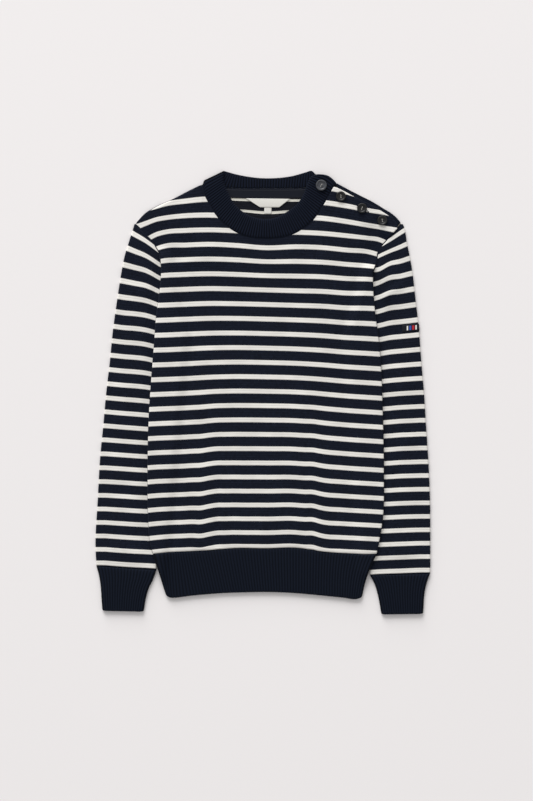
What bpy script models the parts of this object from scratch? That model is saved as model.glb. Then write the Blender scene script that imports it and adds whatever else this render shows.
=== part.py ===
"""A breton sweater, laid flat and seen from above, as the pieces that a maker knits and sews.

Sizes are millimetres. X runs to the wearer's left, Y up to the collar, and Z up from the surface
that the sweater lies on. The origin is on that surface, in the middle of the sweater's box.
"""

import math

import bmesh
import bpy
import numpy as np
from mathutils import Vector

MM = 0.001

WALL = 2.0  # knitted cloth
COLLAR_WALL = 2.4  # the neckband is knitted double
SEAM = 0.5  # between two pieces that are sewn edge to edge
CURVED_SEAM = 1.0  # the same along the neckline and the armholes, which curve tightly
OVER = 0.3  # between two pieces that lie on each other
HOLLOW = 0.8  # between the two layers where they lie closest
FLAT = 2 * WALL + HOLLOW  # both layers together
ROUND = FLAT / 2  # radius of the edge where the two layers meet
OVER_SLEEVE = FLAT + 0.9  # how far the body is raised where it lies on a sleeve
CLEAR = 4.5  # the body stays raised this far past the sleeve's hidden edge
RAMP = 20.0  # and comes down to the surface over this distance
PUFF = 1.7  # how far the cloth rounds up between its edges
RIB = 0.8  # how far a rib stands up

# The side edges of the body, from the hem's seam to where each meets the armhole's seam.
BODY_SIDE = [  # height, left x, right x
    (-257.0, -175.5, 182.0),
    (-237.0, -180.5, 186.0),
    (-203.5, -183.0, 191.5),
    (-123.5, -182.0, 193.5),
    (-40.0, -181.5, 192.0),
    (33.0, -178.0, 189.5),
    (81.0, -173.5, 186.0),
    (126.0, -170.0, 180.0),
    (158.0, -165.5, 177.0),
    (193.5, -162.5, 176.0),
    (212.5, -163.0, 176.5),
]
SIDE_TOP = {-1: 212.5, 1: 193.5}  # height where the side edge meets the armhole's seam

# The seam between body and sleeve, from the hidden underarm to the shoulder point.
ARMHOLE = [  # height, left x, right x
    (96.0, -134.5, 149.0),
    (135.0, -146.0, 161.0),
    (172.0, -154.5, 171.0),
    (193.5, -159.5, 176.0),
    (212.5, -163.0, 178.9),
    (225.0, -165.0, 182.9),
    (232.0, -169.5, 187.3),
    (244.5, -178.0, 197.8),
    (251.0, -184.5, 203.6),
    (265.0, -197.5, 217.0),
    (270.5, -203.5, 222.0),
]

# The outer edge of each sleeve, from the cuff's seam to the shoulder point.
SLEEVE_SIDE = [  # height, left x, right x
    (-290.0, -264.8, 267.5),
    (-276.5, -266.0, 268.0),
    (-248.0, -267.5, 268.0),
    (-171.0, -264.0, 267.5),
    (-101.0, -260.0, 264.5),
    (-50.0, -255.0, 261.0),
    (0.0, -250.5, 258.0),
    (52.0, -244.5, 253.5),
    (98.0, -240.0, 249.5),
    (155.0, -232.0, 242.5),
    (193.5, -225.5, 237.5),
    (219.0, -220.0, 233.0),
    (244.0, -212.0, 228.5),
    (264.0, -205.5, 225.0),
    (270.5, -203.5, 222.5),
]

# Each cuff's sections, from its seam to its edge.
CUFFS = {  # outer x, outer y, inner x, inner y
    -1: [
        (-266.0, -276.5, -170.5, -283.5),
        (-262.0, -291.5, -175.5, -298.0),
        (-259.5, -307.5, -182.0, -311.5),
        (-258.0, -328.5, -187.0, -328.5),
        (-256.5, -348.0, -190.5, -349.5),
    ],
    1: [
        (267.5, -289.0, 171.5, -291.5),
        (262.5, -303.0, 179.0, -305.5),
        (259.0, -318.5, 183.5, -320.5),
        (257.5, -335.0, 187.0, -337.0),
        (256.0, -352.0, 190.5, -355.0),
    ],
}
CUFF_RIBS = 20
CUFF_CORNER = 1.3  # how far each corner of a cuff's edge is cut back

# The hem's sections, from the left side to the right.
HEM = [  # seam x, seam y, edge x, edge y
    (-175.5, -257.0, -154.5, -324.5),
    (-156.0, -255.0, -147.5, -327.0),
    (-124.0, -252.5, -110.5, -323.5),
    (-84.0, -250.0, -68.5, -320.0),
    (-40.0, -248.0, -29.0, -318.5),
    (5.5, -248.5, 10.5, -318.0),
    (55.0, -247.7, 55.0, -320.0),
    (95.0, -253.5, 93.0, -323.5),
    (135.0, -256.5, 128.0, -327.0),
    (169.0, -257.5, 151.5, -329.5),
    (182.0, -257.0, 158.0, -325.0),
]
HEM_RIBS = 72
HEM_BOW = 3.0  # how far the hem's side edge at the wearer's left bows in
HEM_DOWN = (-282.0, -316.0)  # the hem's corners come down to the surface between these heights

# The front of the neckband, from the fold at the left shoulder to the buttoned end.
COLLAR = [  # outer x, outer y, inner x, inner y
    (-96.5, 333.5, -62.5, 355.5),
    (-92.5, 318.0, -62.5, 337.5),
    (-84.5, 302.0, -57.0, 323.5),
    (-69.0, 279.0, -46.5, 304.0),
    (-50.5, 263.0, -33.5, 291.0),
    (-25.0, 251.0, -16.0, 281.5),
    (5.0, 247.8, 5.0, 277.5),
    (33.0, 250.0, 23.5, 281.5),
    (59.0, 260.5, 42.0, 292.0),
    (79.0, 276.5, 56.0, 303.5),
    (96.0, 300.5, 66.5, 320.5),
    (105.0, 316.0, 71.5, 335.0),
    (112.0, 329.0, 77.5, 346.0),
    (118.0, 335.5, 86.0, 349.5),
]
COLLAR_LENGTH = 300.0  # along the middle of the band
COLLAR_RIBS = 74
FOLD_BOW = 3.0  # how far the fold at the left shoulder bulges
END_BOW = 5.5  # how far the buttoned end bulges
COLLAR_BASE = 3.2  # underside of the front band, which lies on the back band

# The back of the neckband, of which the inside shows.
COLLAR_BACK = [  # seam x, seam y, edge x, edge y
    (-96.5, 334.0, -63.0, 355.5),
    (-68.0, 328.5, -54.0, 353.0),
    (-45.0, 327.2, -41.0, 349.5),
    (5.0, 326.8, 5.5, 343.5),
    (48.0, 327.0, 50.0, 347.8),
    (68.0, 327.6, 70.0, 353.5),
    (78.0, 328.4, 77.5, 355.5),
    (94.0, 331.0, 86.0, 348.5),
]
COLLAR_BACK_LENGTH = 165.0
COLLAR_BACK_RIBS = 40
BACK_RIB = 0.5

LEFT_SHOULDER = [  # x, y
    (-203.5, 270.5),
    (-188.0, 287.0),
    (-172.0, 297.0),
    (-140.0, 311.8),
    (-118.0, 323.3),
    (-97.0, 333.5),
]
RIGHT_SHOULDER = [  # x, y
    (118.5, 335.0),
    (138.5, 323.5),
    (156.5, 314.0),
    (172.5, 306.0),
    (194.5, 293.0),
    (209.5, 283.5),
    (217.0, 276.5),
    (222.0, 270.5),
]
RIGHT_FRONT_DOWN = 6.3  # the front's edge lies this far below the buttoned shoulder's edge
WAVE_HEIGHT = 0.6  # that edge is slightly wavy
WAVE_LENGTH = 60.0
PLACKET_ENDS = (119.4, 220.6)  # x of the shoulder band's ends
PLACKET_DEPTH = [(0.0, -20.0), (-14.5, -14.2)]  # how far it reaches in at each end
PLACKET_WALL = 2.0

# The largest soft folds: a ridge's two ends, its half width and its height.
FRONT_FOLDS = [  # x0, y0, x1, y1, half width, height
    (-86.0, -275.0, -92.0, -70.0, 13.0, 1.3),
    (94.0, -275.0, 88.0, -80.0, 13.0, 1.2),
    (-148.0, 196.0, -70.0, 236.0, 12.0, 0.9),
    (158.0, 182.0, 84.0, 228.0, 12.0, 0.8),
    (-138.0, 110.0, -72.0, 44.0, 15.0, 0.7),
    (146.0, 70.0, 84.0, 6.0, 15.0, 0.6),
    (-52.0, -20.0, -8.0, -150.0, 18.0, 0.6),
    (48.0, 90.0, 62.0, -60.0, 18.0, 0.5),
    (-34.0, 226.0, 44.0, 226.0, 9.0, -0.8),
]
SLEEVE_FOLDS = {  # x0, y0, x1, y1, half width, height
    -1: [
        (-178.0, 150.0, -224.0, 176.0, 7.0, 1.2),
        (-182.0, 118.0, -226.0, 136.0, 8.0, -0.8),
        (-192.0, 20.0, -240.0, 4.0, 10.0, 1.0),
        (-194.0, -62.0, -246.0, -44.0, 10.0, 0.9),
        (-200.0, -150.0, -252.0, -168.0, 11.0, -0.7),
        (-188.0, -262.0, -256.0, -240.0, 9.0, 0.9),
    ],
    1: [
        (186.0, 146.0, 232.0, 178.0, 7.0, 1.2),
        (194.0, 60.0, 240.0, 44.0, 9.0, -0.8),
        (204.0, -2.0, 250.0, 22.0, 10.0, 1.0),
        (206.0, -88.0, 256.0, -70.0, 10.0, 0.9),
        (204.0, -178.0, 256.0, -192.0, 11.0, -0.7),
        (190.0, -266.0, 258.0, -250.0, 9.0, 0.9),
    ],
}

BUTTONS = [  # x, y, diameter
    (93.5, 332.0, 17.6),
    (125.0, 314.5, 15.8),
    (158.5, 295.5, 15.8),
    (191.0, 276.0, 15.8),
]
BUTTON_THICK = 3.0
HOLE = 1.7  # diameter of a button's hole
HOLES_APART = 3.4

TAPE_LOWER = [(-70.0, 314.8), (0.0, 311.8), (82.0, 313.3)]  # the neck tape's lower edge
TAPE_THICK = 0.6
LABEL = [(-4.0, 297.0), (26.0, 297.0), (43.5, 310.5), (-26.5, 311.3)]
LABEL_THICK = 0.4
SIZE_TAB = [(2.5, 286.5), (14.0, 286.5), (14.0, 303.0), (2.5, 303.0)]
TAB_END = (223.0, 103.0)  # inner end of the sleeve tab's centre line
TAB_EDGE = (248.6, 105.5)  # where it turns round the sleeve's outer edge
TAB_WIDTH = 11.5
TAB_THICK = 0.7


def hermite(keys, values):
    """A smooth function through the values at rising keys, each slope taken from the neighbours."""
    keys = np.asarray(keys, float)
    values = np.asarray(values, float)
    slopes = np.gradient(values, keys, axis=0)

    def at(key):
        key = min(max(key, keys[0]), keys[-1])
        i = min(int(np.searchsorted(keys, key, side="right")) - 1, len(keys) - 2)
        span = keys[i + 1] - keys[i]
        t = (key - keys[i]) / span
        start = (1 + 2 * t) * (1 - t) ** 2 * values[i] + t * (1 - t) ** 2 * span * slopes[i]
        end = t * t * (3 - 2 * t) * values[i + 1] + t * t * (t - 1) * span * slopes[i + 1]
        return start + end

    return at


def column(table, number):
    return [row[number] for row in table]


def lengthwise(table):
    """Keys for a table of sections: the distance along the middle of them, from 0 to 1."""
    rows = np.asarray(table, float)
    middle = (rows[:, 0:2] + rows[:, 2:4]) / 2
    steps = np.linalg.norm(np.diff(middle, axis=0), axis=1)
    return np.concatenate([[0], np.cumsum(steps)]) / steps.sum()


def ease(t):
    """0 below 0, 1 above 1, and smooth between."""
    t = min(max(t, 0.0), 1.0)
    return t * t * (3 - 2 * t)


BODY_AT = {s: hermite(column(BODY_SIDE, 0), column(BODY_SIDE, 1 if s < 0 else 2)) for s in (-1, 1)}
ARMHOLE_AT = {s: hermite(column(ARMHOLE, 0), column(ARMHOLE, 1 if s < 0 else 2)) for s in (-1, 1)}
SLEEVE_AT = {
    s: hermite(column(SLEEVE_SIDE, 0), column(SLEEVE_SIDE, 1 if s < 0 else 2)) for s in (-1, 1)
}
CUFF_AT = {s: hermite(lengthwise(CUFFS[s]), CUFFS[s]) for s in (-1, 1)}
HEM_AT = hermite(lengthwise(HEM), HEM)
HEM_SEAM_AT = hermite(column(HEM, 0), column(HEM, 1))
COLLAR_AT = hermite(lengthwise(COLLAR), COLLAR)
COLLAR_BACK_AT = hermite(lengthwise(COLLAR_BACK), COLLAR_BACK)
LEFT_SHOULDER_AT = hermite(column(LEFT_SHOULDER, 0), column(LEFT_SHOULDER, 1))
RIGHT_SHOULDER_AT = hermite(column(RIGHT_SHOULDER, 0), column(RIGHT_SHOULDER, 1))
BACK_NECK_AT = hermite(column(COLLAR_BACK, 0), column(COLLAR_BACK, 1))
UNDERARM = ARMHOLE[0][0]


def body_edge(side, y):
    """x of the body's edge: its side below, the armhole's seam above."""
    if y < SIDE_TOP[side]:
        return BODY_AT[side](y)
    return ARMHOLE_AT[side](y)


def tucked_edge(side, y):
    """x of the sleeve's edge that is hidden under the body."""
    if y > UNDERARM:
        return ARMHOLE_AT[side](y)
    top = ARMHOLE_AT[side](UNDERARM)
    _, _, cuff_x, cuff_y = CUFFS[side][0]
    share = min((UNDERARM - y) / (UNDERARM - cuff_y), 1.0)
    return top + (cuff_x - top) * share


def lift(x, y):
    """How far the body is raised off the surface, where it lies on a sleeve."""
    height = 0.0
    for side in (-1, 1):
        past = side * (tucked_edge(side, y) - x) - CLEAR
        over = 1 - ease(past / RAMP)
        starts = ease((SIDE_TOP[side] + 25 - y) / 24)
        ends = ease((y - HEM_DOWN[1]) / (HEM_DOWN[0] - HEM_DOWN[1]))
        height = max(height, OVER_SLEEVE * over * starts * ends)
    return height


def ridges(x, y, folds):
    """The height of soft ridges and troughs at a point."""
    height = 0.0
    for x0, y0, x1, y1, width, rise in folds:
        along = Vector((x1 - x0, y1 - y0))
        to = Vector((x - x0, y - y0))
        t = to.dot(along) / along.length_squared
        aside = (to - along * t).length
        taper = ease(t / 0.3) * ease((1 - t) / 0.3)
        height += rise * taper * math.exp(-((aside / width) ** 2))
    return height


def away(x, y, place, reach):
    """0 within reach of a place and 1 from twice as far."""
    return ease(math.dist((x, y), place) / reach - 1)


def right_front_edge(x):
    """y of the front's wavy edge on the buttoned shoulder."""
    wave = WAVE_HEIGHT * math.sin(2 * math.pi * (x - 118) / WAVE_LENGTH)
    return RIGHT_SHOULDER_AT(x) - RIGHT_FRONT_DOWN + wave


def neck_point(along):
    """A point of the front's neckline, just outside the neckband."""
    outer = Vector(COLLAR_AT(along)[0:2])
    inner = Vector(COLLAR_AT(along)[2:4])
    return outer + (outer - inner).normalized() * CURVED_SEAM


NECK = [neck_point(q) for q in np.linspace(0, 0.985, 90)]


def front_top(x):
    """y of the front's upper edge: shoulder, neckline, shoulder."""
    if x < NECK[0][0]:
        return LEFT_SHOULDER_AT(x)
    if x > NECK[-1][0]:
        return right_front_edge(x)
    return float(np.interp(x, [p[0] for p in NECK], [p[1] for p in NECK]))


def back_top(x):
    """y of the back's upper edge."""
    if x < COLLAR_BACK[0][0]:
        return LEFT_SHOULDER_AT(x)
    if x > RIGHT_SHOULDER[0][0]:
        return RIGHT_SHOULDER_AT(x)
    if x > COLLAR_BACK[-1][0]:
        share = (x - COLLAR_BACK[-1][0]) / (RIGHT_SHOULDER[0][0] - COLLAR_BACK[-1][0])
        return COLLAR_BACK[-1][1] + (RIGHT_SHOULDER[0][1] - COLLAR_BACK[-1][1]) * share
    return BACK_NECK_AT(x)


def over_placket(x, y):
    """How far the front is raised by the shoulder band that lies under it."""
    if x < 60:
        return 0.0
    below = RIGHT_SHOULDER_AT(x) - y
    return (PLACKET_WALL + OVER) * ease((x - 78) / 26) * (1 - ease((below - 32) / 18))


def front_height(x, y):
    """z of the front's outer face."""
    inside = [side * (tucked_edge(side, y) - x) - CLEAR for side in (-1, 1)]
    puff = PUFF * ease(min(inside) / 40) * (0.35 + 0.65 * ease((y + 252) / 45))
    puff *= 0.25 + 0.75 * ease((front_top(x) - y) / 35)
    soft = puff + ridges(x, y, FRONT_FOLDS) * ease(min(inside) / 25)
    for bx, by, _ in BUTTONS:
        soft *= away(x, y, (bx, by), 14)
    return FLAT + lift(x, y) + soft + over_placket(x, y)


def sleeve_height(side, x, y, across):
    """z of a sleeve's upper face; across runs from 0 at its outer edge to 1."""
    outside = side * (x - body_edge(side, y))
    seen = ease((outside - 2) / 14)
    puff = PUFF * ease(across / 0.35) * ease((y + 285) / 40) + ridges(x, y, SLEEVE_FOLDS[side])
    if side > 0:
        puff *= away(x, y, ((TAB_END[0] + TAB_EDGE[0]) / 2, TAB_END[1]), 34)
    return FLAT + puff * seen


# The points of a rounded edge, from where the two layers meet. The first step is upright.
IN_FROM_EDGE = [0.0, 0.0, 0.35 * ROUND, ROUND]
DOWN_FROM_TOP = [ROUND - SEAM / 2, 0.62 * ROUND, 0.17 * ROUND, 0.0]


def side_lanes(side, y):
    """x of each column of points beside the body's edge, and how far each is rounded down."""
    edge = body_edge(side, y)
    inner = tucked_edge(side, y) - side * CLEAR
    if side * (edge - inner) < ROUND + 2:
        inner = edge - side * (ROUND + 2)
    rounded = [edge - side * d for d in IN_FROM_EDGE]
    middle = (rounded[-1] + inner) / 2
    lanes = rounded + [middle, inner, inner - side * RAMP / 2, inner - side * RAMP]
    return lanes, DOWN_FROM_TOP + [0.0] * 4


# Shares of the way up the body at which its rows of points lie, closer towards the armholes.
ROWS = list(np.linspace(0, 0.72, 10)) + list(np.linspace(0.75, 1, 12))


def panel(tops, top_at):
    """Rows of points over the body, from the hem's seam up.

    tops are the points of the upper edge between the two sides' lanes. The last rows follow that
    edge, for its rounding. Each point is x, y and how far it is rounded down.
    """
    spaced = [d * 1.3 for d in reversed(IN_FROM_EDGE)]
    left_top = side_lanes(-1, ARMHOLE[-1][0])[0]
    right_top = side_lanes(1, ARMHOLE[-1][0])[0]
    lanes = [(-1, i) for i in range(len(left_top))]
    for x, y in tops:
        left = side_lanes(-1, y)[0][-1]
        right = side_lanes(1, y)[0][-1]
        lanes.append(((x - left) / (right - left), y))
    lanes += [(1, i) for i in reversed(range(len(right_top)))]
    columns = []
    for number, lane in enumerate(lanes):
        is_side = number < len(left_top) or number >= len(left_top) + len(tops)
        if is_side:
            top_x = (left_top if lane[0] < 0 else right_top)[lane[1]]
            top_y = top_at(top_x)
            shared_y = back_top(top_x)
        else:
            top_y = lane[1]
            shared_y = top_y

        def x_at(y, lane=lane, is_side=is_side):
            if is_side:
                return side_lanes(lane[0], y)[0][lane[1]]
            left = side_lanes(-1, y)[0][-1]
            right = side_lanes(1, y)[0][-1]
            return left + (right - left) * lane[0]

        bottom = HEM_SEAM_AT(x_at(HEM_SEAM_AT(x_at(-252.0)))) + SEAM
        ys = [bottom + (shared_y - spaced[0] - bottom) * t + (top_y - shared_y) * t**12 for t in ROWS]
        ys += [top_y - d for d in spaced[1:]]
        points = []
        for row, y in enumerate(ys):
            x = x_at(y)
            side_down = 0.0
            if is_side:
                share = ease((SIDE_TOP[lane[0]] - y) / 25)
                side_down = side_lanes(lane[0], y)[1][lane[1]] * share
            top_row = row - (len(ROWS) - 1)
            top_down = 0.0
            if top_row >= 0:
                share = 1 - ease((x + 112) / 14)
                top_down = DOWN_FROM_TOP[len(spaced) - 1 - top_row] * share
            points.append((x, y, max(side_down, top_down)))
        columns.append(points)
    return [list(row) for row in zip(*columns)]


def grid(points, flip=False):
    """A mesh through rows of points. It faces up where rows go to +Y and points to +X."""
    rows = len(points)
    columns = len(points[0])
    bm = bmesh.new()
    bmesh.ops.create_grid(bm, x_segments=columns - 1, y_segments=rows - 1, size=0.5)
    for vertex in bm.verts:
        i = round((vertex.co.x + 0.5) * (columns - 1))
        j = round((vertex.co.y + 0.5) * (rows - 1))
        vertex.co = Vector(points[j][i]) * MM
    bmesh.ops.remove_doubles(bm, verts=bm.verts, dist=0.01 * MM)
    if flip:
        bmesh.ops.reverse_faces(bm, faces=bm.faces)
    return bm


def ladder(bm, first, second):
    """Triangles between two lines of vertices, each closed by the shorter of two diagonals."""
    i = 0
    j = 0
    while i < len(first) - 1 or j < len(second) - 1:
        on_first = j == len(second) - 1
        if not on_first and i < len(first) - 1:
            to_first = (first[i + 1].co - second[j].co).length
            to_second = (first[i].co - second[j + 1].co).length
            on_first = to_first <= to_second
        if on_first:
            bm.faces.new((first[i], first[i + 1], second[j]))
            i += 1
        else:
            bm.faces.new((first[i], second[j + 1], second[j]))
            j += 1


def wall(outer, inner, tube):
    """A closed wall: a fine outer skin, a plain inner one, and ladders between their edges."""
    bm = bmesh.new()
    skins = []
    for points in (outer, inner):
        skin = [[bm.verts.new(Vector(p) * MM) for p in row] for row in points]
        if tube:
            skin = [row + row[:1] for row in skin]
        for low, high in zip(skin, skin[1:]):
            for i in range(len(low) - 1):
                bm.faces.new((low[i], low[i + 1], high[i + 1], high[i]))
        skins.append(skin)
    fine, plain = skins
    ladder(bm, fine[0], plain[0])
    ladder(bm, fine[-1], plain[-1])
    if not tube:
        ladder(bm, [row[0] for row in fine], [row[0] for row in plain])
        ladder(bm, [row[-1] for row in fine], [row[-1] for row in plain])
    bmesh.ops.recalc_face_normals(bm, faces=bm.faces)
    return bm


def material(name, colour, roughness):
    made = bpy.data.materials.new(name)
    made.use_nodes = True
    shader = made.node_tree.nodes["Principled BSDF"]
    shader.inputs["Base Color"].default_value = (*colour, 1)
    shader.inputs["Roughness"].default_value = roughness
    shader.inputs["Metallic"].default_value = 0
    return made


def add(name, bm, finish, thickness=None):
    """An object in the sweater's collection; a thickness makes a wall inward from the skin."""
    mesh = bpy.data.meshes.new(name)
    bm.to_mesh(mesh)
    bm.free()
    obj = bpy.data.objects.new(name, mesh)
    obj.data.materials.append(finish)
    COLLECTION.objects.link(obj)
    if thickness:
        solid = obj.modifiers.new("Wall", "SOLIDIFY")
        solid.thickness = thickness * MM
        solid.offset = -1
        solid.use_even_offset = True
        solid.use_quality_normals = True
    return obj


for old in list(bpy.data.objects):
    bpy.data.objects.remove(old, do_unlink=True)
COLLECTION = bpy.data.collections.new("Breton sweater")
bpy.context.scene.collection.children.link(COLLECTION)

KNIT = material("striped knit", (0.012, 0.016, 0.030), 0.9)
RIBBED = material("ribbed knit", (0.009, 0.013, 0.025), 0.9)
HORN = material("button", (0.02, 0.02, 0.021), 0.45)
WOVEN = material("woven label", (0.80, 0.79, 0.76), 0.8)
TAPED = material("neck tape", (0.018, 0.020, 0.026), 0.85)


SHOULDER_COLUMNS = (-164.0, -148.0, -132.0, -116.0)  # x of both panels' columns on the left shoulder


def make_front():
    """The front panel, from the hem's seam to the shoulders and the neckline."""
    tops = [(x, LEFT_SHOULDER_AT(x)) for x in SHOULDER_COLUMNS]
    tops += [tuple(neck_point(q)) for q in np.linspace(0.006, 0.97, 18)]
    tops += [(x, right_front_edge(x)) for x in (124.0, 138.0, 154.0, 172.0, 186.0)]
    rows = panel(tops, front_top)
    points = [[(x, y, front_height(x, y) - down) for x, y, down in row] for row in rows]
    return add("front", grid(points), KNIT, WALL)


def make_back():
    """The back panel, which lies on the surface and on the two sleeves."""
    others = (-97.0, -70.0, -30.0, 5.0, 40.0, 75.0, 94.0, 118.6, 138.0, 160.0, 182.0)
    tops = [(x, back_top(x)) for x in SHOULDER_COLUMNS + others]
    rows = panel(tops, back_top)
    points = [[(x, y, lift(x, y) + down) for x, y, down in row] for row in rows]
    return add("back", grid(points, flip=True), KNIT, WALL)


def sleeve_point(side, along, across):
    """A point of a sleeve's plan. along runs from 0 at the armhole to 1 at the cuff's seam, and
    across from 0 at the outer edge to 1 at the edge that is tucked under the body."""
    shoulder = ARMHOLE[-1][0]
    outer_end, inner_end = CUFFS[side][0][1], CUFFS[side][0][3]
    outer_y = shoulder + (outer_end + SEAM / 2 - shoulder) * along
    inner_y = UNDERARM + (inner_end + SEAM / 2 - UNDERARM) * along**1.5
    outer = Vector((SLEEVE_AT[side](outer_y), outer_y))
    inner = Vector((tucked_edge(side, inner_y), inner_y))
    seam_y = shoulder + (UNDERARM - shoulder) * across
    gap = CURVED_SEAM * (1.6 - 0.6 * ease(across / 0.1))
    seam = Vector((ARMHOLE_AT[side](seam_y) + side * gap, seam_y))
    top = Vector((ARMHOLE_AT[side](shoulder), shoulder))
    bottom = Vector((ARMHOLE_AT[side](UNDERARM), UNDERARM))
    bow = (1 - ease(along / 0.28)) ** 1.5
    return outer.lerp(inner, across) + (seam - top.lerp(bottom, across)) * bow


def share_seen(side, along):
    """The share of a sleeve's width that the body doesn't cover."""
    low, high = 0.0, 0.93
    for _ in range(20):
        middle = (low + high) / 2
        point = sleeve_point(side, along, middle)
        if side * (point.x - body_edge(side, point.y)) > CURVED_SEAM / 2:
            low = middle
        else:
            high = middle
    return high


def sleeve_ring(side, along):
    """One ring of a sleeve's outer skin: over the top from the outer edge, and back underneath."""
    width = (sleeve_point(side, along, 1) - sleeve_point(side, along, 0)).length
    turn = [math.radians(a) for a in (0, 45, 90)]
    edge = [(ROUND * (1 - math.cos(a)) / width, ROUND * (1 - math.sin(a))) for a in turn]
    seen = share_seen(side, along)
    flat = [seen * t for t in (0.25, 0.5, 0.75, 1.0)]
    flat += [seen + (1 - seen) * t for t in (0.35, 0.7)]
    over = edge + [(share, 0.0) for share in flat] + [(1 - d, down) for d, down in edge[::-1]]
    under = [(1 - d, down) for d, down in edge[1:]]
    under += [(share, 0.0) for share in flat[5::-2]] + edge[:0:-1]
    ring = []
    for across, down in over:
        x, y = sleeve_point(side, along, across)
        ring.append((x, y, sleeve_height(side, x, y, across) - down))
    for across, up in under:
        ring.append((*sleeve_point(side, along, across), up))
    return ring + ring[:1]


def make_sleeve(side, name):
    """A sleeve: a tube that lies flat, from the armhole's seam to the cuff's."""
    alongs = list(np.linspace(0, 0.3, 8)) + list(np.linspace(0.36, 1, 11))
    rings = [sleeve_ring(side, along) for along in alongs]
    return add(name, grid(rings, flip=side < 0), KNIT, WALL)


def make_cuff(side, name):
    """A ribbed tube. Its ribs stand up on the upper face; the underside rests flat."""
    turn = [math.radians(a) for a in (0, 45, 90)]
    outer_rows = []
    inner_rows = []
    for along in (0.0, 0.25, 0.5, 0.75, 0.955, 1.0):
        ox, oy, ix, iy = CUFF_AT[side](along)
        outer = Vector((ox, oy))
        inner = Vector((ix, iy))
        across = (inner - outer).normalized()
        if along == 0:
            down = Vector((-across.y, across.x)) * side
            outer = outer + down * SEAM / 2
            inner = inner + down * SEAM / 2
        corner = CUFF_CORNER if along == 1 else 0.0
        outer = outer + across * corner
        inner = inner - across * corner
        width = (inner - outer).length
        loop = []
        for a in turn:
            loop.append((ROUND * (1 - math.cos(a)), ROUND + ROUND * math.sin(a)))
        span = width - 2 * ROUND
        for k in range(1, 2 * CUFF_RIBS):
            loop.append((ROUND + span * k / (2 * CUFF_RIBS), FLAT + RIB * (k % 2)))
        for a in reversed(turn):
            loop.append((width - ROUND * (1 - math.cos(a)), ROUND + ROUND * math.sin(a)))
        for a in turn[1:]:
            loop.append((width - ROUND * (1 - math.cos(a)), ROUND - ROUND * math.sin(a)))
        loop.append((width / 2, 0.0))
        for a in turn[:0:-1]:
            loop.append((ROUND * (1 - math.cos(a)), ROUND - ROUND * math.sin(a)))
        hollow = [
            (WALL, ROUND),
            (WALL + HOLLOW / 2, FLAT - WALL),
            (width / 2, FLAT - WALL),
            (width - WALL - HOLLOW / 2, FLAT - WALL),
            (width - WALL, ROUND),
            (width - WALL - HOLLOW / 2, WALL),
            (width / 2, WALL),
            (WALL + HOLLOW / 2, WALL),
        ]
        outer_rows.append([(*(outer + across * d), z) for d, z in loop])
        inner_rows.append([(*(outer + across * d), z) for d, z in hollow])
    return add(name, wall(outer_rows, inner_rows, True), RIBBED)


def hem_point(share, down):
    """A point of the hem; share runs across it and down from its seam to its edge."""
    sx, sy, ex, ey = HEM_AT(share)
    x = sx + (ex - sx) * down
    y = sy - SEAM / 2 + (ey - sy + SEAM / 2) * down
    return x - HEM_BOW * math.sin(math.pi * down) * ease((share - 0.7) / 0.3), y


HEM_WIDTH = HEM[-1][0] - HEM[0][0]
HEM_EDGE = [d / HEM_WIDTH for d in IN_FROM_EDGE]  # shares across the hem of a rounded edge
HEM_ROWS = (1.0, 0.66, 0.33, 0.0)
HEM_PLAIN = (0.034, 0.062, 0.09, 0.2, 0.35, 0.5, 0.65, 0.8, 0.91, 0.938, 0.966)


def make_hem_front():
    """The ribbed hem, front half."""
    edge = list(zip(HEM_EDGE, DOWN_FROM_TOP))
    span = 1 - 2 * HEM_EDGE[-1]
    shares = [(s, -down) for s, down in edge]
    for k in range(1, 2 * HEM_RIBS):
        shares.append((HEM_EDGE[-1] + span * k / (2 * HEM_RIBS), RIB * (k % 2)))
    shares += [(1 - s, -down) for s, down in reversed(edge)]
    wall_in = WALL / HEM_WIDTH
    drop = ROUND - WALL - SEAM / 2
    plain = [(wall_in, drop)] + [(s, 0.0) for s in HEM_PLAIN] + [(1 - wall_in, drop)]
    outer_rows = []
    inner_rows = []
    for down in HEM_ROWS:
        outer_row = []
        inner_row = []
        for share, up in shares:
            x, y = hem_point(share, down)
            outer_row.append((x, y, lift(x, y) + FLAT + up))
        for share, drop in plain:
            x, y = hem_point(share, down)
            inner_row.append((x, y, lift(x, y) + FLAT - WALL - drop))
        outer_rows.append(outer_row)
        inner_rows.append(inner_row)
    return add("hem_front", wall(outer_rows, inner_rows, False), RIBBED)


def make_hem_back():
    """The hem's back half, which lies on the surface."""
    edge = list(zip(HEM_EDGE, DOWN_FROM_TOP))
    shares = edge + [(s, 0.0) for s in HEM_PLAIN] + [(1 - s, down) for s, down in reversed(edge)]
    rows = []
    for down in HEM_ROWS:
        row = []
        for share, up in shares:
            x, y = hem_point(share, down)
            if down == 0:
                y -= SEAM
            row.append((x, y, lift(x, y) + up))
        rows.append(row)
    return add("hem_back", grid(rows, flip=True), RIBBED, WALL)


COLLAR_ACROSS = [(0.0, 0.0), (0.3, 0.7), (0.65, 1.1), (0.93, 0.7), (1.0, -0.7)]  # share, rise


def collar_point(along, across):
    """A point of the front band's plan; across runs from its seam to its edge."""
    ox, oy, ix, iy = COLLAR_AT(along)
    onward = Vector((iy - oy, ox - ix)).normalized()
    bow = END_BOW * ease((along - 0.93) / 0.07) - FOLD_BOW * (1 - ease(along / 0.06))
    point = Vector((ox, oy)).lerp(Vector((ix, iy)), across)
    return point + onward * bow * math.sin(math.pi * across)


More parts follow.
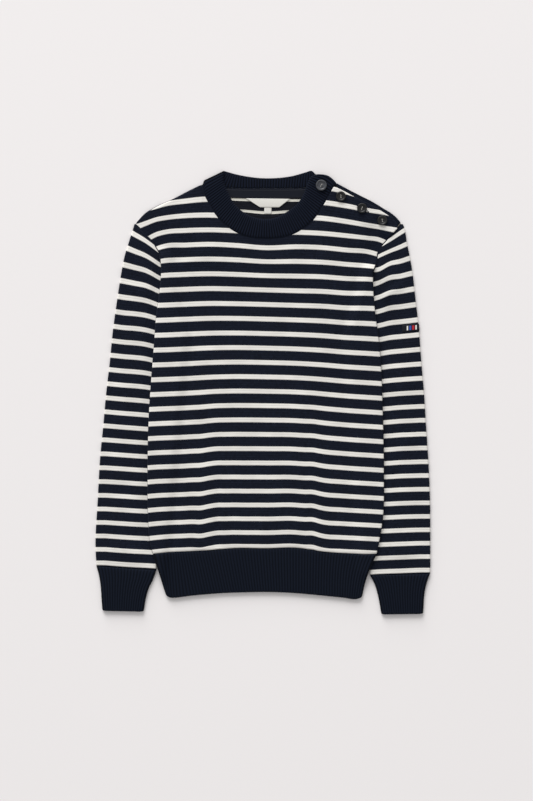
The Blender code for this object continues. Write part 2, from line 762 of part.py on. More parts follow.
def collar_back_point(along, across):
    """A point of the back band's plan; across runs from its seam to its edge."""
    sx, sy, ex, ey = COLLAR_BACK_AT(along)
    seam = Vector((sx, sy + CURVED_SEAM))
    edge = Vector((ex, ey))
    onward = Vector((edge.y - seam.y, seam.x - edge.x)).normalized()
    bow = -FOLD_BOW * (1 - ease(along / 0.11))
    return seam.lerp(edge, across) + onward * bow * math.sin(math.pi * across)


def make_collar_front():
    """The front of the neckband, from the fold at the left to the end that button 1 closes."""
    length = COLLAR_LENGTH
    middle = (COLLAR_BASE + COLLAR_WALL) / 2
    angles = [math.asin(OVER / 2 / middle), math.radians(45), math.radians(90)]
    fold = [(middle * (1 - math.cos(a)) / length, middle * (1 - math.sin(a))) for a in angles]
    start = fold[-1][0]
    alongs = [(s, -down) for s, down in fold]
    for k in range(1, 2 * COLLAR_RIBS + 1):
        alongs.append((start + (1 - start) * k / (2 * COLLAR_RIBS), RIB * (k % 2)))
    wall_in = COLLAR_WALL / length
    plain = [(wall_in, middle - COLLAR_BASE)]
    plain += [(s, 0.0) for s in np.linspace(start * 1.4, 1, 28)]
    outer_rows = []
    inner_rows = []
    for across, rise in COLLAR_ACROSS:
        outer_row = []
        inner_row = []
        for along, up in alongs:
            point = collar_point(along, across)
            soft = rise * ease(along / 0.06)
            outer_row.append((*point, COLLAR_BASE + COLLAR_WALL + soft + up))
        for along, drop in plain:
            point = collar_point(along, across)
            inner_row.append((*point, COLLAR_BASE + max(rise - 0.4, 0.0) * ease(along / 0.06) - drop))
        outer_rows.append(outer_row)
        inner_rows.append(inner_row)
    return add("collar_front", wall(outer_rows, inner_rows, False), RIBBED)


def make_collar_back():
    """The back of the neckband. It lies with its ribbed inside up."""
    length = COLLAR_BACK_LENGTH
    middle = (COLLAR_BASE + COLLAR_WALL) / 2
    angles = [math.asin(OVER / 2 / middle), math.radians(45), math.radians(90)]
    under = [(middle * (1 - math.cos(a)) / length, middle * (1 - math.sin(a))) for a in angles]
    under += [(s, 0.0) for s in np.linspace(0.06, 1, 12)]
    start = 2.4 / length
    ribbed = [(WALL / length, middle - OVER / 2), (start, WALL)]
    for k in range(1, 2 * COLLAR_BACK_RIBS + 1):
        share = start + (1 - start) * k / (2 * COLLAR_BACK_RIBS)
        ribbed.append((share, WALL + BACK_RIB * (k % 2)))
    rows = {"ribbed": [], "under": []}
    for across in (0.0, 0.5, 1.0):
        for key, stations in (("ribbed", ribbed), ("under", under)):
            row = []
            for along, z in stations:
                row.append((*collar_back_point(along, across), z))
            rows[key].append(row)
    return add("collar_back", wall(rows["ribbed"], rows["under"], False), RIBBED)


def make_placket():
    """The band along the buttoned shoulder, sewn to the back and lying under the front's edge."""
    rows = []
    for inward in (1.0, 0.72, 0.4, 0.0):
        row = []
        for along in np.linspace(0, 1, 12):
            x = PLACKET_ENDS[0] + (PLACKET_ENDS[1] - PLACKET_ENDS[0]) * along
            edge = Vector((x, RIGHT_SHOULDER_AT(x)))
            depth = Vector(PLACKET_DEPTH[0]).lerp(Vector(PLACKET_DEPTH[1]), along)
            row.append((*(edge + depth * inward), WALL + OVER + PLACKET_WALL))
        rows.append(row)
    return add("shoulder_placket", grid(rows), RIBBED, PLACKET_WALL)


def make_plate(name, corners, low, high, finish):
    """A flat piece with this outline, between two heights."""
    curve = bpy.data.curves.new(name, "CURVE")
    curve.dimensions = "2D"
    curve.fill_mode = "BOTH"
    curve.extrude = (high - low) / 2 * MM
    spline = curve.splines.new("POLY")
    spline.points.add(len(corners) - 1)
    for point, (x, y) in zip(spline.points, corners):
        point.co = (x * MM, y * MM, 0, 1)
    spline.use_cyclic_u = True
    curve.materials.append(finish)
    obj = bpy.data.objects.new(name, curve)
    obj.location.z = (low + high) / 2 * MM
    COLLECTION.objects.link(obj)
    return obj


def make_labels():
    """The tape over the back neck's seam, the neck label and the small tab below it."""
    ends = (TAPE_LOWER[-1][0], TAPE_LOWER[0][0])
    upper = [(x, BACK_NECK_AT(x) - CURVED_SEAM) for x in np.linspace(*ends, 9)]
    seat = WALL + OVER
    make_plate("neck_tape", TAPE_LOWER + upper, seat, seat + TAPE_THICK, TAPED)
    seat += TAPE_THICK
    make_plate("neck_label", LABEL, seat, seat + LABEL_THICK, WOVEN)
    make_plate("size_tab", SIZE_TAB, WALL + OVER, WALL + OVER + LABEL_THICK, WOVEN)


def make_sleeve_tab():
    """A woven tab on the wearer's left sleeve. It is made from the sleeve's face, moved out."""
    rows = []
    reach = ROUND + OVER + TAB_THICK
    for aside in (-0.5, 0.0, 0.5):
        low = (TAB_END[0], TAB_END[1] + aside * TAB_WIDTH)
        y = TAB_EDGE[1] + aside * TAB_WIDTH
        turn_x = SLEEVE_AT[1](y) - ROUND
        row = [(*low, FLAT + OVER + TAB_THICK)]
        for angle in (90, 62, 34, 6):
            a = math.radians(angle)
            row.append((turn_x + reach * math.cos(a), y, ROUND + reach * math.sin(a)))
        rows.append(row)
    return add("sleeve_tab", grid(rows), TAPED, TAB_THICK)


def make_button(number, x, y, diameter, base):
    """A two-hole button with a raised rim: a turned profile, then two holes cut through it."""
    radius = diameter / 2
    thick = BUTTON_THICK
    profile = [  # radius, height, from the outer side's top to the bottom and in
        (0.0, 0.62 * thick),
        (0.60 * radius, 0.60 * thick),
        (0.74 * radius, 0.96 * thick),
        (0.88 * radius, thick),
        (radius, 0.68 * thick),
        (radius, 0.40 * thick),
        (0.82 * radius, 0.0),
        (0.0, 0.0),
    ]
    bm = bmesh.new()
    verts = [bm.verts.new((r * MM, 0, z * MM)) for r, z in profile]
    edges = [bm.edges.new(pair) for pair in zip(verts, verts[1:])]
    bmesh.ops.spin(
        bm,
        geom=verts + edges,
        axis=(0, 0, 1),
        cent=(0, 0, 0),
        dvec=(0, 0, 0),
        angle=2 * math.pi,
        steps=20,
        use_merge=True,
    )
    bmesh.ops.remove_doubles(bm, verts=bm.verts, dist=0.01 * MM)
    bmesh.ops.recalc_face_normals(bm, faces=bm.faces)
    button = add(f"button_{number}", bm, HORN)
    button.location = (x * MM, y * MM, base * MM)
    for sign in (-1, 1):
        hole = bmesh.new()
        bmesh.ops.create_cone(
            hole,
            cap_ends=True,
            segments=10,
            radius1=HOLE / 2 * MM,
            radius2=HOLE / 2 * MM,
            depth=4 * thick * MM,
        )
        mesh = bpy.data.meshes.new("hole")
        hole.to_mesh(mesh)
        hole.free()
        cutter = bpy.data.objects.new(f"hole_{number}_{sign}", mesh)
        cutter.location = (x * MM, (y + sign * HOLES_APART / 2) * MM, base * MM)
        cutter.hide_render = True
        cutter.display_type = "WIRE"
        CUTTERS.objects.link(cutter)
        cut = button.modifiers.new("Hole", "BOOLEAN")
        cut.operation = "DIFFERENCE"
        cut.object = cutter
    return button


CUTTERS = bpy.data.collections.new("Cutters")
bpy.context.scene.collection.children.link(CUTTERS)

make_front()
make_back()
make_sleeve(-1, "sleeve_right_arm")
make_sleeve(1, "sleeve_left_arm")
make_cuff(-1, "cuff_right_arm")
make_cuff(1, "cuff_left_arm")
make_hem_front()
make_hem_back()
make_collar_front()
make_collar_back()
make_placket()
make_labels()
make_sleeve_tab()
COLLAR_TOP = COLLAR_BASE + COLLAR_WALL + max(column(COLLAR_ACROSS, 1)) + RIB
for number, (x, y, diameter) in enumerate(BUTTONS, 1):
    if number == 1:
        seat = COLLAR_TOP
    else:
        seat = max(
            front_height(x + dx, y + dy)
            for dx in np.linspace(-diameter / 2, diameter / 2, 5)
            for dy in np.linspace(-diameter / 2, min(diameter / 2, front_top(x) - y), 5)
        )
    make_button(number, x, y, diameter, seat + OVER)
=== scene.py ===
import math

import bmesh
import bpy
import numpy as np
from mathutils import Matrix, Vector, noise


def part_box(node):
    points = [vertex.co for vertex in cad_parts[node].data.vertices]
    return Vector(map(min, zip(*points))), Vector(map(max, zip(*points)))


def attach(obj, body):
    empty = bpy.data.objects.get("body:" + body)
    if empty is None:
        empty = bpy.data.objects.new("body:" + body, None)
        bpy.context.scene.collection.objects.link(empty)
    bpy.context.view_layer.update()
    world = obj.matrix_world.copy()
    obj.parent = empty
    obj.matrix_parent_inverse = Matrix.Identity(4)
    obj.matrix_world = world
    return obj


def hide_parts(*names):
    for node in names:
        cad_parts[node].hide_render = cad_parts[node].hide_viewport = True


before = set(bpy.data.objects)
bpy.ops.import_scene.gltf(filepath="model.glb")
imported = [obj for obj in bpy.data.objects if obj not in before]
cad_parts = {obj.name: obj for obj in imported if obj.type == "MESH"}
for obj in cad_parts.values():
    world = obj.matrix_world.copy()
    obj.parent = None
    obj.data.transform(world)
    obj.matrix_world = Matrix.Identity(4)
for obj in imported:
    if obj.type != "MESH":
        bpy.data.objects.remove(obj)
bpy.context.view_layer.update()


# The back panel
# One flat piece of striped cotton knit, cut to shape at the armholes and the neck. It lies on
# the surface with its right side down, and on the two sleeves at its sides. Sizes are in mm.

MM = 0.001
WALL = 2.0
SEAM = 0.5
CURVED_SEAM = 1.0
OVER = 0.3
FLAT = 4.8  # both layers together
ROUND = FLAT / 2
OVER_SLEEVE = FLAT + 0.9  # how far the body is raised where it lies on a sleeve
CLEAR = 4.5
RAMP = 20.0
HEM_DOWN = (-282.0, -316.0)  # the hem's corners come down to the surface between these heights
SIDE_TOP = {-1: 212.5, 1: 193.5}
UNDERARM = 96.0
SHOULDER = 270.5

BODY_SIDE = [  # height, left x, right x
    (-257.0, -175.5, 182.0),
    (-237.0, -180.5, 186.0),
    (-203.5, -183.0, 191.5),
    (-123.5, -184.0, 193.5),
    (-40.0, -182.2, 192.0),
    (33.0, -177.4, 189.5),
    (81.0, -173.5, 186.0),
    (126.0, -170.0, 180.0),
    (158.0, -165.5, 177.0),
    (193.5, -162.5, 176.0),
    (212.5, -163.0, 176.5),
]
ARMHOLE = [  # height, left x, right x
    (96.0, -134.5, 149.0),
    (135.0, -146.0, 161.0),
    (172.0, -154.5, 171.0),
    (193.5, -159.5, 176.0),
    (212.5, -163.0, 182.0),
    (225.0, -165.0, 183.9),
    (232.0, -169.5, 187.3),
    (244.5, -178.0, 197.8),
    (251.0, -184.5, 203.6),
    (265.0, -197.5, 217.0),
    (270.5, -203.5, 222.0),
]
CUFF_SEAM = {-1: (-276.5, -170.5, -283.5), 1: (-289.0, 171.5, -291.5)}  # outer y, inner x, inner y
HEM = [  # seam x, seam y, edge x, edge y
    (-175.5, -257.0, -154.5, -324.5),
    (-156.0, -255.0, -147.5, -327.0),
    (-124.0, -253.5, -110.5, -323.5),
    (-84.0, -251.3, -68.5, -320.0),
    (-40.0, -248.0, -29.0, -318.5),
    (5.5, -248.5, 10.5, -318.0),
    (55.0, -247.7, 55.0, -320.0),
    (95.0, -253.5, 93.0, -323.5),
    (135.0, -256.5, 128.0, -327.0),
    (169.0, -257.5, 150.5, -329.2),
    (182.0, -257.0, 158.5, -327.2),
]
COLLAR_BACK = [  # seam x, seam y, edge x, edge y
    (-96.5, 334.0, -63.0, 355.5),
    (-68.0, 328.5, -54.0, 353.0),
    (-45.0, 327.2, -41.0, 349.5),
    (5.0, 326.8, 5.5, 343.5),
    (48.0, 327.0, 50.0, 347.8),
    (68.0, 327.6, 70.0, 353.5),
    (78.0, 328.4, 77.5, 355.5),
    (94.0, 331.0, 86.0, 348.5),
]
LEFT_SHOULDER = [(-203.5, 270.5), (-188.0, 287.0), (-172.0, 297.0), (-140.0, 311.8), (-118.0, 323.3), (-97.0, 333.5)]
RIGHT_SHOULDER = [
    (118.5, 335.6),
    (138.5, 324.8),
    (156.5, 315.6),
    (172.5, 307.6),
    (194.5, 294.4),
    (209.5, 284.6),
    (217.0, 277.2),
    (222.0, 270.5),
]

# The middle of every few stripes, as heights at places across the body. They bend a little.
STRIPE_NUMBERS = (0, 5, 10, 15, 19, 20, 21, 22, 23, 24, 25)
BODY_STRIPES = [  # x, then the height of each stripe numbered above
    (-200.0, -256.0, -144.0, -27.5, 91.0, 182.0, 201.0, 212.0, 236.0, 267.5, 290.0, 310.0),
    (-185.0, -254.5, -141.9, -25.9, 92.0, 184.5, 205.5, 220.0, 246.0, 273.0, 295.0, 317.0),
    (-170.0, -252.6, -140.6, -25.1, 92.8, 187.3, 209.6, 231.0, 254.0, 278.4, 298.3, 320.0),
    (-156.0, -251.2, -140.0, -24.5, 93.2, 188.6, 212.0, 235.7, 257.8, 280.7, 302.6, 325.0),
    (-124.0, -249.8, -138.9, -23.2, 94.6, 190.2, 213.8, 237.1, 260.3, 284.0, 307.1, 333.5),
    (-84.0, -247.0, -134.9, -20.5, 96.2, 191.2, 214.7, 238.4, 261.3, 284.8, 310.5, 338.0),
    (-44.0, -244.0, -133.4, -19.2, 96.5, 190.2, 213.6, 236.6, 260.0, 283.0, 308.0, 336.0),
    (5.6, -244.8, -133.9, -19.7, 95.5, 188.2, 210.7, 232.6, 257.0, 281.0, 306.0, 330.0),
    (55.2, -244.0, -134.2, -20.8, 94.1, 187.4, 210.9, 234.4, 257.4, 281.5, 306.0, 330.0),
    (95.2, -249.8, -138.4, -23.8, 92.2, 186.4, 209.6, 233.1, 255.6, 279.8, 305.2, 329.5),
    (135.2, -252.8, -142.1, -27.4, 89.1, 183.5, 206.2, 229.0, 252.0, 274.2, 299.7, 321.0),
    (168.8, -254.1, -144.0, -29.6, 87.3, 182.4, 203.4, 226.4, 248.4, 268.2, 293.4, 309.5),
    (185.0, -255.0, -145.0, -30.6, 86.3, 181.0, 201.0, 221.5, 246.6, 265.5, 291.0, 304.5),
    (200.0, -256.0, -146.0, -31.8, 84.8, 178.0, 197.0, 216.0, 240.0, 263.0, 288.3, 301.0),
    (215.0, -257.0, -147.0, -33.0, 83.5, 176.0, 193.0, 211.0, 233.0, 260.6, 286.0, 298.0),
]
STRIPE_PITCH = 22.8
STRIPES_DOWN = 0.55  # all the stripes lie this much below the heights above
STRIPE_BENDS = [  # x, half width, height at the hem: where soft folds shift the stripes
    (-99.0, 11.0, -1.9),
    (-72.0, 9.0, 0.8),
    (-30.0, 16.0, -0.6),
    (60.0, 14.0, -0.3),
    (80.0, 10.0, 1.8),
    (106.0, 12.0, -0.7),
]
BACK_STRIPES_HIGHER = 4.8  # the back's stripes meet the neck this much higher than the front's


def smooth_line(keys, values):
    """A smooth function of arrays, through the values at rising keys."""
    keys = np.asarray(keys, float)
    values = np.asarray(values, float)
    slopes = np.gradient(values, keys, axis=0)

    def at(key):
        key = np.clip(np.asarray(key, float), keys[0], keys[-1])
        i = np.clip(np.searchsorted(keys, key, side="right") - 1, 0, len(keys) - 2)
        span = keys[i + 1] - keys[i]
        t = (key - keys[i]) / span
        if values.ndim > 1:
            span = span[..., None]
            t = t[..., None]
        start = (1 + 2 * t) * (1 - t) ** 2 * values[i] + t * (1 - t) ** 2 * span * slopes[i]
        return start + t * t * (3 - 2 * t) * values[i + 1] + t * t * (t - 1) * span * slopes[i + 1]

    return at


def column(table, number):
    return [row[number] for row in table]


def lengthwise(table):
    """Keys for a table of sections: the distance along the middle of them, from 0 to 1."""
    rows = np.asarray(table, float)
    middle = (rows[:, 0:2] + rows[:, 2:4]) / 2
    steps = np.linalg.norm(np.diff(middle, axis=0), axis=1)
    return np.concatenate([[0], np.cumsum(steps)]) / steps.sum()


def ease(t):
    t = np.clip(t, 0.0, 1.0)
    return t * t * (3 - 2 * t)


def sides(table):
    return {s: smooth_line(column(table, 0), column(table, 1 if s < 0 else 2)) for s in (-1, 1)}


BODY_AT = sides(BODY_SIDE)
ARMHOLE_AT = sides(ARMHOLE)
HEM_AT = smooth_line(lengthwise(HEM), HEM)
HEM_SEAM_AT = smooth_line(column(HEM, 0), column(HEM, 1))
BACK_NECK_AT = smooth_line(column(COLLAR_BACK, 0), column(COLLAR_BACK, 1))
LEFT_SHOULDER_AT = smooth_line(column(LEFT_SHOULDER, 0), column(LEFT_SHOULDER, 1))
RIGHT_SHOULDER_AT = smooth_line(column(RIGHT_SHOULDER, 0), column(RIGHT_SHOULDER, 1))


def body_edge(side, y):
    return np.where(y < SIDE_TOP[side], BODY_AT[side](y), ARMHOLE_AT[side](y))


def tucked_edge(side, y):
    """x of the sleeve's edge that is hidden under the body."""
    top = ARMHOLE_AT[side](UNDERARM)
    _, cuff_x, cuff_y = CUFF_SEAM[side]
    share = np.clip((UNDERARM - y) / (UNDERARM - cuff_y), 0.0, 1.0)
    return np.where(y > UNDERARM, ARMHOLE_AT[side](y), top + (cuff_x - top) * share)


def lift(x, y):
    """How far the body is raised off the surface, where it lies on a sleeve."""
    height = np.zeros(np.broadcast(x, y).shape)
    for side in (-1, 1):
        over = 1 - ease((side * (tucked_edge(side, y) - x) - CLEAR) / RAMP)
        starts = ease((SIDE_TOP[side] + 25 - y) / 24)
        ends = ease((y - HEM_DOWN[1]) / (HEM_DOWN[0] - HEM_DOWN[1]))
        height = np.maximum(height, OVER_SLEEVE * over * starts * ends)
    return height


def stripe_number(x, y, table, numbers, bends=()):
    """Which stripe each point lies on. It is a whole number along a stripe's middle."""
    y = y + STRIPES_DOWN
    for bend_x, half, rise in bends:
        y = y - rise * np.exp(-(((x - bend_x) / half) ** 2)) * np.clip((30 - y) / 230, 0, 1)
    rows = np.asarray(table, float)
    every = np.arange(numbers[0], numbers[-1] + 1)
    heights = smooth_line(numbers, rows[:, 1:].T)(every)
    below = heights[:1] - STRIPE_PITCH * np.arange(4, 0, -1)[:, None]
    above = heights[-1:] + STRIPE_PITCH * np.arange(1, 5)[:, None]
    heights = np.concatenate([below, heights, above]).T
    here = smooth_line(rows[:, 0], heights)(x)
    i = np.clip((here <= y[..., None]).sum(axis=-1) - 1, 0, here.shape[-1] - 2)
    low = np.take_along_axis(here, i[..., None], -1)[..., 0]
    high = np.take_along_axis(here, i[..., None] + 1, -1)[..., 0]
    return i + (y - low) / (high - low) - 4 + numbers[0]


TURNS = np.radians(np.linspace(0, 90, 6))
EDGE_IN = ROUND * (1 - np.cos(TURNS))  # the points of a rounded edge, in from it
EDGE_DOWN = np.minimum(ROUND * (1 - np.sin(TURNS)), ROUND - SEAM / 2)


def side_lanes(side, y, beside):
    """x of each lane of points along the body's side, and how far each is rounded down."""
    edge = body_edge(side, y)
    inner = tucked_edge(side, y) - side * CLEAR
    inner = np.where(side * (edge - inner) < ROUND + 2, edge - side * (ROUND + 2), inner)
    lanes = [edge - side * d for d in EDGE_IN]
    lanes += [lanes[-1] + (inner - lanes[-1]) * k / beside for k in range(1, beside + 1)]
    steps = max(beside // 2, 2)
    lanes += [inner - side * RAMP * k / steps for k in range(1, steps + 1)]
    return lanes, list(EDGE_DOWN) + [0.0] * (beside + steps)


def panel(tops, top_at, row_count, beside):
    """Points over the body, from the hem's seam up: x, y and how far each is rounded down."""
    count = len(side_lanes(1, np.zeros(1), beside)[0])
    lanes = [(-1, i) for i in range(count)]
    lanes += [(0, top) for top in tops]
    lanes += [(1, i) for i in reversed(range(count))]
    rounded = 1.3 * EDGE_IN[::-1]
    grid = []
    for side, what in lanes:
        if side:
            top_x = side_lanes(side, np.array([SHOULDER]), beside)[0][what][0]
            top_y = float(top_at(top_x))
        else:
            top_y = what[1]
            left_top = side_lanes(-1, np.array([top_y]), beside)[0][-1][0]
            right_top = side_lanes(1, np.array([top_y]), beside)[0][-1][0]
            share = (what[0] - left_top) / (right_top - left_top)

        def x_at(y):
            if side:
                return side_lanes(side, y, beside)[0][what]
            left = side_lanes(-1, y, beside)[0][-1]
            right = side_lanes(1, y, beside)[0][-1]
            return left + (right - left) * share

        low = np.array([-252.0])
        for _ in range(2):
            low = HEM_SEAM_AT(x_at(low))
        low = low[0] + SEAM
        ys = low + (top_y - rounded[0] - low) * np.linspace(0, 1, row_count)
        ys = np.concatenate([ys, top_y - rounded[1:]])
        xs = x_at(ys)
        down = np.zeros(len(ys))
        if side:
            share_low = ease((SIDE_TOP[side] - ys) / 25)
            down = side_lanes(side, ys, beside)[1][what] * (0.35 + 0.65 * share_low)
        top_down = np.concatenate([np.zeros(row_count - 1), EDGE_DOWN[::-1]])
        top_share = 0.25 + 0.75 * (1 - ease((xs + 112) / 14))
        grid.append(np.stack([xs, ys, np.maximum(down, top_down * top_share)], axis=-1))
    return np.stack(grid, axis=1)


def skin(name, points, flip=False, ring=False, **numbers):
    """A mesh through rows of points in mm, facing up where rows go to +Y and points to +X.

    Each of numbers is an array of one number a point, kept as an attribute for the material.
    """
    rows, across = points.shape[:2]
    place = np.arange(rows * across).reshape(rows, across)
    right = np.roll(place, -1, axis=1) if ring else place[:, 1:]
    left = place if ring else place[:, :-1]
    faces = np.stack([left[:-1], right[:-1], right[1:], left[1:]], axis=-1).reshape(-1, 4)
    if flip:
        faces = faces[:, ::-1]
    mesh = bpy.data.meshes.new(name)
    mesh.from_pydata((points.reshape(-1, 3) * MM).tolist(), [], faces.tolist())
    for key, values in numbers.items():
        kept = mesh.attributes.new(key, "FLOAT", "POINT")
        kept.data.foreach_set("value", np.asarray(values, np.float32).ravel())
    mesh.shade_smooth()
    obj = bpy.data.objects.new(name, mesh)
    bpy.context.scene.collection.objects.link(obj)
    return obj


def give_wall(obj, thickness):
    """The cloth's thickness, made inward from its skin."""
    wall = obj.modifiers.new("Wall", "SOLIDIFY")
    wall.thickness = thickness * MM
    wall.offset = -1
    wall.use_quality_normals = True


def uneven(x, y, size, seed):
    """Slight unevenness of cloth that has been worn and laid by hand, from -1 to 1."""
    flat_x = np.broadcast_to(x, np.broadcast(x, y).shape).ravel()
    flat_y = np.broadcast_to(y, np.broadcast(x, y).shape).ravel()
    out = [noise.noise(Vector((px / size, py / size, seed))) for px, py in zip(flat_x, flat_y)]
    return np.array(out).reshape(np.broadcast(x, y).shape)


class Nodes:
    """A short way to write the nodes of a material or of a Geometry Nodes tree."""

    def __init__(self, tree):
        self.tree = tree

    def put(self, socket, value):
        if isinstance(value, bpy.types.NodeSocket):
            self.tree.links.new(value, socket)
        elif value is not None:
            socket.default_value = value

    def add(self, kind, output=0, settings=None, **inputs):
        node = self.tree.nodes.new(kind)
        for key, value in (settings or {}).items():
            setattr(node, key, value)
        for key, value in inputs.items():
            self.put(node.inputs[key.replace("_", " ")], value)
        return node.outputs[output]

    def math(self, operation, first, second=None, third=None):
        node = self.tree.nodes.new(self.math_kind)
        node.operation = operation
        for socket, value in zip(node.inputs, (first, second, third)):
            self.put(socket, value)
        return node.outputs[0]

    math_kind = "ShaderNodeMath"

    def number(self, name):
        return self.add("ShaderNodeAttribute", "Fac", {"attribute_name": name})

    def blend(self, share, first, second):
        node = self.tree.nodes.new("ShaderNodeMix")
        node.data_type = "RGBA"
        self.put(node.inputs["Factor"], share)
        self.put(node.inputs["A"], first)
        self.put(node.inputs["B"], second)
        return node.outputs["Result"]

    def between(self, value, low, high, to_low=0.0, to_high=1.0):
        node = self.tree.nodes.new("ShaderNodeMapRange")
        for key, given in zip(("Value", "From Min", "From Max", "To Min", "To Max"), (value, low, high, to_low, to_high)):
            self.put(node.inputs[key], given)
        return node.outputs["Result"]


def cloth_material(name, roughness, sheen, sheen_tint):
    """An empty cloth material: its node writer, its shader and its inputs' fixed numbers."""
    made = bpy.data.materials.new(name)
    made.use_nodes = True
    shader = made.node_tree.nodes["Principled BSDF"]
    shader.inputs["Roughness"].default_value = roughness
    shader.inputs["Specular IOR Level"].default_value = 0.10
    shader.inputs["Sheen Weight"].default_value = sheen
    shader.inputs["Sheen Roughness"].default_value = 0.45
    shader.inputs["Sheen Tint"].default_value = (*sheen_tint, 1)
    return made, Nodes(made.node_tree), shader


# The light and dark ends of each colour pair span the knit's random tone and its painted shade between stitches and
# raised rows.
NAVY_LIGHT = (0.0082, 0.0114, 0.0230, 1)
NAVY_DARK = (0.0030, 0.0043, 0.0092, 1)
ECRU_LIGHT = (0.80, 0.775, 0.735, 1)
ECRU_DARK = (0.66, 0.635, 0.590, 1)
STRIPE_HALF = 0.163  # half a stripe's width, as a share of the repeat
COURSES = 16  # rows of stitches in each repeat
RIDGES = 6  # raised rows in each repeat


def striped_knit(name, light, dark, ecru, shade, half):
    """Fine cotton knit: V stitches in rows, every few of them raised, with ecru stripes."""
    made, n, shader = cloth_material(name, 0.88, 0.05, (0.55, 0.62, 0.80))
    number = n.number("stripe")
    wale = n.number("wale")
    aside = n.math("PINGPONG", wale, 0.5)
    row = n.math("SUBTRACT", n.math("MULTIPLY", number, float(COURSES)), n.math("MULTIPLY", aside, 0.9))
    stitch = n.math("SINE", n.math("MULTIPLY", n.math("FRACT", row), math.pi))
    leg = n.math("SINE", n.math("MULTIPLY", aside, 2 * math.pi))
    loop = n.math("MULTIPLY", stitch, n.between(leg, 0.0, 1.0, 0.35, 1.0))
    furrow = n.math("COSINE", n.math("MULTIPLY", number, 2 * math.pi * RIDGES))
    ridge = n.between(furrow, 1.0, -1.0)
    edge = n.math("SUBTRACT", number, n.math("MULTIPLY", aside, 1.1 / COURSES))
    off = n.math("PINGPONG", n.math("ADD", edge, 0.275 / COURSES), 0.5)
    is_ecru = n.between(off, half + 0.008, half - 0.008)
    fibre = n.add("ShaderNodeTexNoise", "Fac", Vector=n.add("ShaderNodeTexCoord", "Object"), Scale=900.0, Detail=3.0)
    cloud = n.add("ShaderNodeTexNoise", "Fac", Vector=n.add("ShaderNodeTexCoord", "Object"), Scale=26.0, Detail=2.0)
    fleck = n.add("ShaderNodeTexNoise", "Fac", Vector=n.add("ShaderNodeTexCoord", "Object"), Scale=380.0, Detail=2.0)
    # Painted shade: the colour darkens in the gaps between the stitches' loops and in the furrows between the raised
    # rows. The noises add random tone and flecks.
    tone = n.math("ADD", n.math("MULTIPLY", loop, 0.55), n.math("MULTIPLY", ridge, 0.3))
    tone = n.math("ADD", tone, n.math("MULTIPLY", n.math("SUBTRACT", fibre, 0.5), 0.5))
    flecked = n.math("ADD", tone, n.math("MULTIPLY", n.math("SUBTRACT", fleck, 0.5), 1.8))
    navy = n.blend(flecked, dark, light)
    pale = n.blend(n.math("ADD", tone, 0.25), shade, ecru)
    colour = n.blend(is_ecru, navy, pale)
    worn = n.between(cloud, 0.3, 0.7, 0.93, 1.07)
    tint = n.tree.nodes.new("ShaderNodeVectorMath")
    tint.operation = "SCALE"
    n.put(tint.inputs[0], colour)
    n.put(tint.inputs["Scale"], worn)
    n.put(shader.inputs["Base Color"], tint.outputs[0])
    height = n.math("ADD", n.math("MULTIPLY", loop, 0.5), n.math("MULTIPLY", ridge, 0.5))
    height = n.math("ADD", height, n.math("MULTIPLY", fibre, 0.25))
    bump = n.add("ShaderNodeBump", Strength=0.55, Distance=0.0006, Height=height)
    n.put(shader.inputs["Normal"], bump)
    return made


STRIPED = striped_knit("striped knit", NAVY_LIGHT, NAVY_DARK, ECRU_LIGHT, ECRU_DARK, STRIPE_HALF)
# The inside of the back shows greyer, because the floats of the knit lie on that side. Its ecru is also painted darker
# and its ecru stripes are drawn narrower, partly as painted shade where the neckband shades the inside of the back.
STRIPED_INSIDE_PAINTED_SHADE = striped_knit(
    "striped knit, wrong side",
    (0.0112, 0.0124, 0.0185, 1),
    (0.0046, 0.0054, 0.0088, 1),
    (0.74, 0.72, 0.65, 1),
    (0.54, 0.52, 0.46, 1),
    0.088,
)
WALE = 1.9  # width of one column of stitches


def finish_piece(obj, material_slot, *nodes):
    """Make the piece stand for its CAD nodes and ride with the sweater."""
    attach(obj, "root")
    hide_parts(*nodes)


def back_top(x):
    last = COLLAR_BACK[-1]
    first = RIGHT_SHOULDER[0]
    joined = last[1] + (first[1] - last[1]) * (x - last[0]) / (first[0] - last[0])
    if x < COLLAR_BACK[0][0]:
        return float(LEFT_SHOULDER_AT(x))
    if x > first[0]:
        return float(RIGHT_SHOULDER_AT(x))
    return joined if x > last[0] else float(BACK_NECK_AT(x))


LEFT_END = -178.4  # where the shoulders' lanes of points begin and end
RIGHT_END = 197.0
back_tops = [(x, back_top(x)) for x in np.linspace(LEFT_END, RIGHT_END, 92)]
back = panel(back_tops, back_top, 150, 8)
bx, by, bdown = back[..., 0], back[..., 1], back[..., 2]
bz = lift(bx, by) + bdown
higher = BACK_STRIPES_HIGHER * ease((by - 150) / 120) - 2.4 * ease((by - 288) / 20)
# In the neck opening a stripe sags a little at its middle, where the back has sunk.
sag = 3.2 + 1.8 * ease(np.abs(bx - 8) / 44)
higher = higher + sag * ease((by - 262) / 14) * (1 - ease((by - 296) / 12))
back_number = stripe_number(bx, by - higher, BODY_STRIPES, STRIPE_NUMBERS)
back_knit = skin("back_knit", np.stack([bx, by, bz], -1), flip=True, stripe=back_number, wale=bx / WALE)
back_knit.data.materials.append(STRIPED)
back_knit.data.materials.append(STRIPED_INSIDE_PAINTED_SHADE)
give_wall(back_knit, WALL)
back_knit.modifiers["Wall"].material_offset = 1
finish_piece(back_knit, "striped_knit", "back")


# The front panel
# The same striped knit as the back, with a deeper neck. On the wearer's left shoulder it isn't
# sewn to the back: its edge laps over the shoulder band and is held by the buttons.

